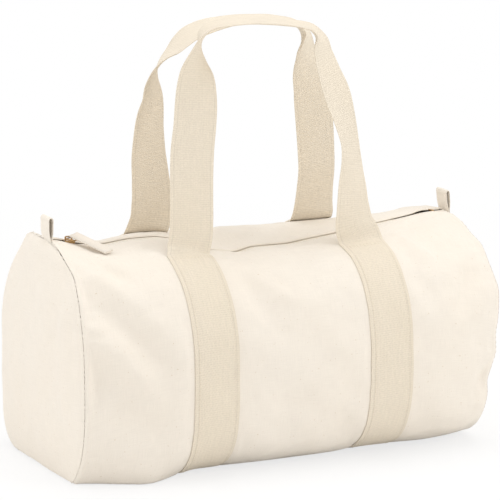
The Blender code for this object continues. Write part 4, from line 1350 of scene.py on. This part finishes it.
LENS = 245.88
SENSOR = 36.0
EYE = (-1.4473, -3.3127, 0.9281)
AIM = (0.39301, 0.89920, -0.19388)
ROLL = -0.3
SKY_TINT = (1.0, 0.972, 0.935, 1)
LAMP_AIM = (0, 0, 0.18)

# Each lamp: its name, place, size and the setting of its power
LAMPS = (
    ("left_panel", (-2.6, 0.1, 1.1), 2.0, "left_power"),
    ("right_panel", (2.1, -2.3, 1.25), 2.0, "right_power"),
    ("top_panel", (0.2, 0.1, 2.5), 2.6, "top_power"),
    ("front_panel", (-0.4, -3.0, 1.2), 1.6, "front_power"),
)


def make_stage():
    """The floor, the lamps, the plain sky and the camera."""
    settings = bpy.context.scene.bag_stage
    bpy.ops.object.select_all(action="DESELECT")
    bpy.ops.mesh.primitive_grid_add(x_subdivisions=4, y_subdivisions=4, size=1.0)
    floor = bpy.context.object
    floor.name = "studio_floor"
    floor.data.transform(Matrix.Scale(settings.floor_size, 4))
    floor.data.materials.append(finish("floor"))
    for name, place, size, power in LAMPS:
        add_lamp(name, Vector(place), size, getattr(settings, power))
    make_sky(settings.sky_strength)
    make_camera()
    bpy.context.scene.view_settings.view_transform = "Standard"


def make_sky(power):
    """A plain sky that lights the bag softly and that the camera sees white."""
    world = bpy.data.worlds.new("studio")
    bpy.context.scene.world = world
    world.use_nodes = True
    sky = Nodes(world.node_tree)
    seen = sky.seen()
    strength = sky.node("ShaderNodeMix", {"data_type": "FLOAT"}, {0: seen, 2: power, 3: 1.0})
    tint = sky.mix(seen, SKY_TINT, (1, 1, 1, 1))
    back = sky.tree.nodes["Background"]
    sky.tree.links.new(strength.socket, back.inputs["Strength"])
    sky.tree.links.new(tint.socket, back.inputs["Color"])


def add_lamp(name, place, size, power):
    light = bpy.data.lights.new(name, "AREA")
    light.shape, light.size, light.energy = "DISK", size, power
    lamp = bpy.data.objects.new(name, light)
    bpy.context.scene.collection.objects.link(lamp)
    lamp.location = place
    aim = Vector(LAMP_AIM) - place
    lamp.rotation_mode = "QUATERNION"
    lamp.rotation_quaternion = aim.to_track_quat("-Z", "Y")


def make_camera():
    camera = bpy.data.cameras.new("photo_view")
    camera.sensor_width, camera.lens = SENSOR, LENS
    camera.clip_start, camera.clip_end = 0.1, 100.0
    obj = bpy.data.objects.new("photo_view", camera)
    bpy.context.scene.collection.objects.link(obj)
    aim = Vector(AIM).normalized()
    right = aim.cross(Vector((0, 0, 1))).normalized()
    up = right.cross(aim)
    roll = math.radians(ROLL)
    turned = right * math.cos(roll) + up * math.sin(roll)
    raised = up * math.cos(roll) - right * math.sin(roll)
    matrix = Matrix((turned, raised, -aim)).transposed().to_4x4()
    matrix.translation = Vector(EYE)
    obj.matrix_world = matrix
    bpy.context.scene.camera = obj


# Settings, operators and panel


def colour_setting(name, description, default):
    return FloatVectorProperty(
        name=name, description=description, default=default, subtype="COLOR", size=3, min=0, max=1
    )


def length_setting(name, description, default):
    return FloatProperty(
        name=name, description=description, default=default, unit="LENGTH", precision=5
    )


def power_setting(name, default):
    return FloatProperty(
        name=name, description=f"{name} lamp's power", default=default, unit="POWER"
    )


class BagSettings(PropertyGroup):
    """Colours and thread sizes of the bag."""

    canvas_colour: colour_setting("Canvas", "Colour of the natural canvas", (0.90, 0.84, 0.755))
    webbing_colour: colour_setting("Webbing", "Colour of the cotton webbing", (0.80, 0.722, 0.60))
    tape_colour: colour_setting("Tape", "Colour of the twill tape", (0.90, 0.83, 0.735))
    thread_colour: colour_setting("Thread", "Colour of the sewing thread", (0.80, 0.71, 0.58))
    coil_colour: colour_setting("Coil", "Colour of the zip's coil", (0.86, 0.77, 0.63))
    brass_colour: colour_setting("Brass", "Colour of the slider", (0.56, 0.36, 0.17))
    floor_colour: colour_setting("Floor", "Colour of the floor", (0.93, 0.93, 0.93))
    weave_pitch: length_setting("Weave pitch", "Distance between canvas threads", 0.0010)
    rib_pitch: length_setting("Rib pitch", "Distance between the webbing's ribs", 0.0023)
    twill_pitch: length_setting("Twill pitch", "Distance between the tape's ribs", 0.0011)


class StageSettings(PropertyGroup):
    """Lamps, sky and floor of the studio."""

    left_power: power_setting("Left", 17.0)
    right_power: power_setting("Right", 24.0)
    top_power: power_setting("Top", 27.0)
    front_power: power_setting("Front", 1.0)
    sky_strength: FloatProperty(name="Sky", description="Strength of the plain sky", default=0.70)
    floor_size: length_setting("Floor", "Side of the floor", 30.0)


class BAG_OT_canvas_body(Operator):
    """Makes the canvas round front, bottom and back."""

    bl_idname = "bag.canvas_body"
    bl_label = "Canvas body"

    def execute(self, context):
        make_body()
        return {"FINISHED"}


class BAG_OT_mouth_lips(Operator):
    """Makes the folded canvas edges along the zip."""

    bl_idname = "bag.mouth_lips"
    bl_label = "Mouth lips"

    def execute(self, context):
        make_lips()
        return {"FINISHED"}


class BAG_OT_end_panels(Operator):
    """Makes the two round end panels."""

    bl_idname = "bag.end_panels"
    bl_label = "End panels"

    def execute(self, context):
        make_end_panels()
        return {"FINISHED"}


class BAG_OT_seam_bindings(Operator):
    """Makes the tape over the end seams inside."""

    bl_idname = "bag.seam_bindings"
    bl_label = "Seam bindings"

    def execute(self, context):
        make_bindings()
        return {"FINISHED"}


class BAG_OT_zip_row(Operator):
    """Makes the zip's tapes and coils."""

    bl_idname = "bag.zip_row"
    bl_label = "Zip"

    def execute(self, context):
        make_zip()
        return {"FINISHED"}


class BAG_OT_body_straps(Operator):
    """Makes the webbing sewn round the body."""

    bl_idname = "bag.body_straps"
    bl_label = "Body straps"

    def execute(self, context):
        make_straps()
        return {"FINISHED"}


class BAG_OT_handles(Operator):
    """Makes the two webbing handles."""

    bl_idname = "bag.handles"
    bl_label = "Handles"

    def execute(self, context):
        make_handles()
        return {"FINISHED"}


class BAG_OT_tab_loops(Operator):
    """Makes the folded tabs at the ends."""

    bl_idname = "bag.tab_loops"
    bl_label = "Tab loops"

    def execute(self, context):
        make_tabs()
        return {"FINISHED"}


class BAG_OT_stitching(Operator):
    """Sews the stitch rows along the zip and the straps."""

    bl_idname = "bag.stitching"
    bl_label = "Stitching"

    def execute(self, context):
        make_stitching()
        return {"FINISHED"}


class BAG_OT_puller(Operator):
    """Makes the zip's folded tape puller."""

    bl_idname = "bag.puller"
    bl_label = "Puller"

    def execute(self, context):
        make_puller()
        return {"FINISHED"}


class BAG_OT_metal(Operator):
    """Gives the slider, the ring and the stops their brass."""

    bl_idname = "bag.metal"
    bl_label = "Metal"

    def execute(self, context):
        make_metal()
        return {"FINISHED"}


class BAG_OT_stage(Operator):
    """Makes the floor, the lamps and the camera."""

    bl_idname = "bag.stage"
    bl_label = "Stage"

    def execute(self, context):
        make_stage()
        return {"FINISHED"}


OPERATORS = (
    BAG_OT_canvas_body, BAG_OT_mouth_lips, BAG_OT_end_panels,
    BAG_OT_seam_bindings, BAG_OT_zip_row, BAG_OT_body_straps,
    BAG_OT_handles, BAG_OT_tab_loops, BAG_OT_stitching,
    BAG_OT_puller, BAG_OT_metal, BAG_OT_stage,
)


class BAG_PT_pieces(Panel):
    """Lists the bag's pieces and settings."""

    bl_label = "Canvas barrel bag"
    bl_idname = "BAG_PT_pieces"
    bl_space_type = "VIEW_3D"
    bl_region_type = "UI"
    bl_category = "Bag"

    def draw(self, context):
        for group in (context.scene.bag, context.scene.bag_stage):
            for key in group.bl_rna.properties.keys():
                if key not in ("rna_type", "name"):
                    self.layout.prop(group, key)
        for operator in OPERATORS:
            self.layout.operator(operator.bl_idname)


CLASSES = (BagSettings, StageSettings, *OPERATORS, BAG_PT_pieces)


def register():
    for item in CLASSES:
        bpy.utils.register_class(item)
    bpy.types.Scene.bag = PointerProperty(type=BagSettings)
    bpy.types.Scene.bag_stage = PointerProperty(type=StageSettings)


def unregister():
    del bpy.types.Scene.bag
    del bpy.types.Scene.bag_stage
    for item in reversed(CLASSES):
        bpy.utils.unregister_class(item)


def main():
    register()
    bpy.ops.bag.canvas_body()
    bpy.ops.bag.mouth_lips()
    bpy.ops.bag.end_panels()
    bpy.ops.bag.seam_bindings()
    bpy.ops.bag.zip_row()
    bpy.ops.bag.body_straps()
    bpy.ops.bag.handles()
    bpy.ops.bag.tab_loops()
    bpy.ops.bag.stitching()
    bpy.ops.bag.puller()
    bpy.ops.bag.metal()
    bpy.ops.bag.stage()


if __name__ == "__main__":
    main()
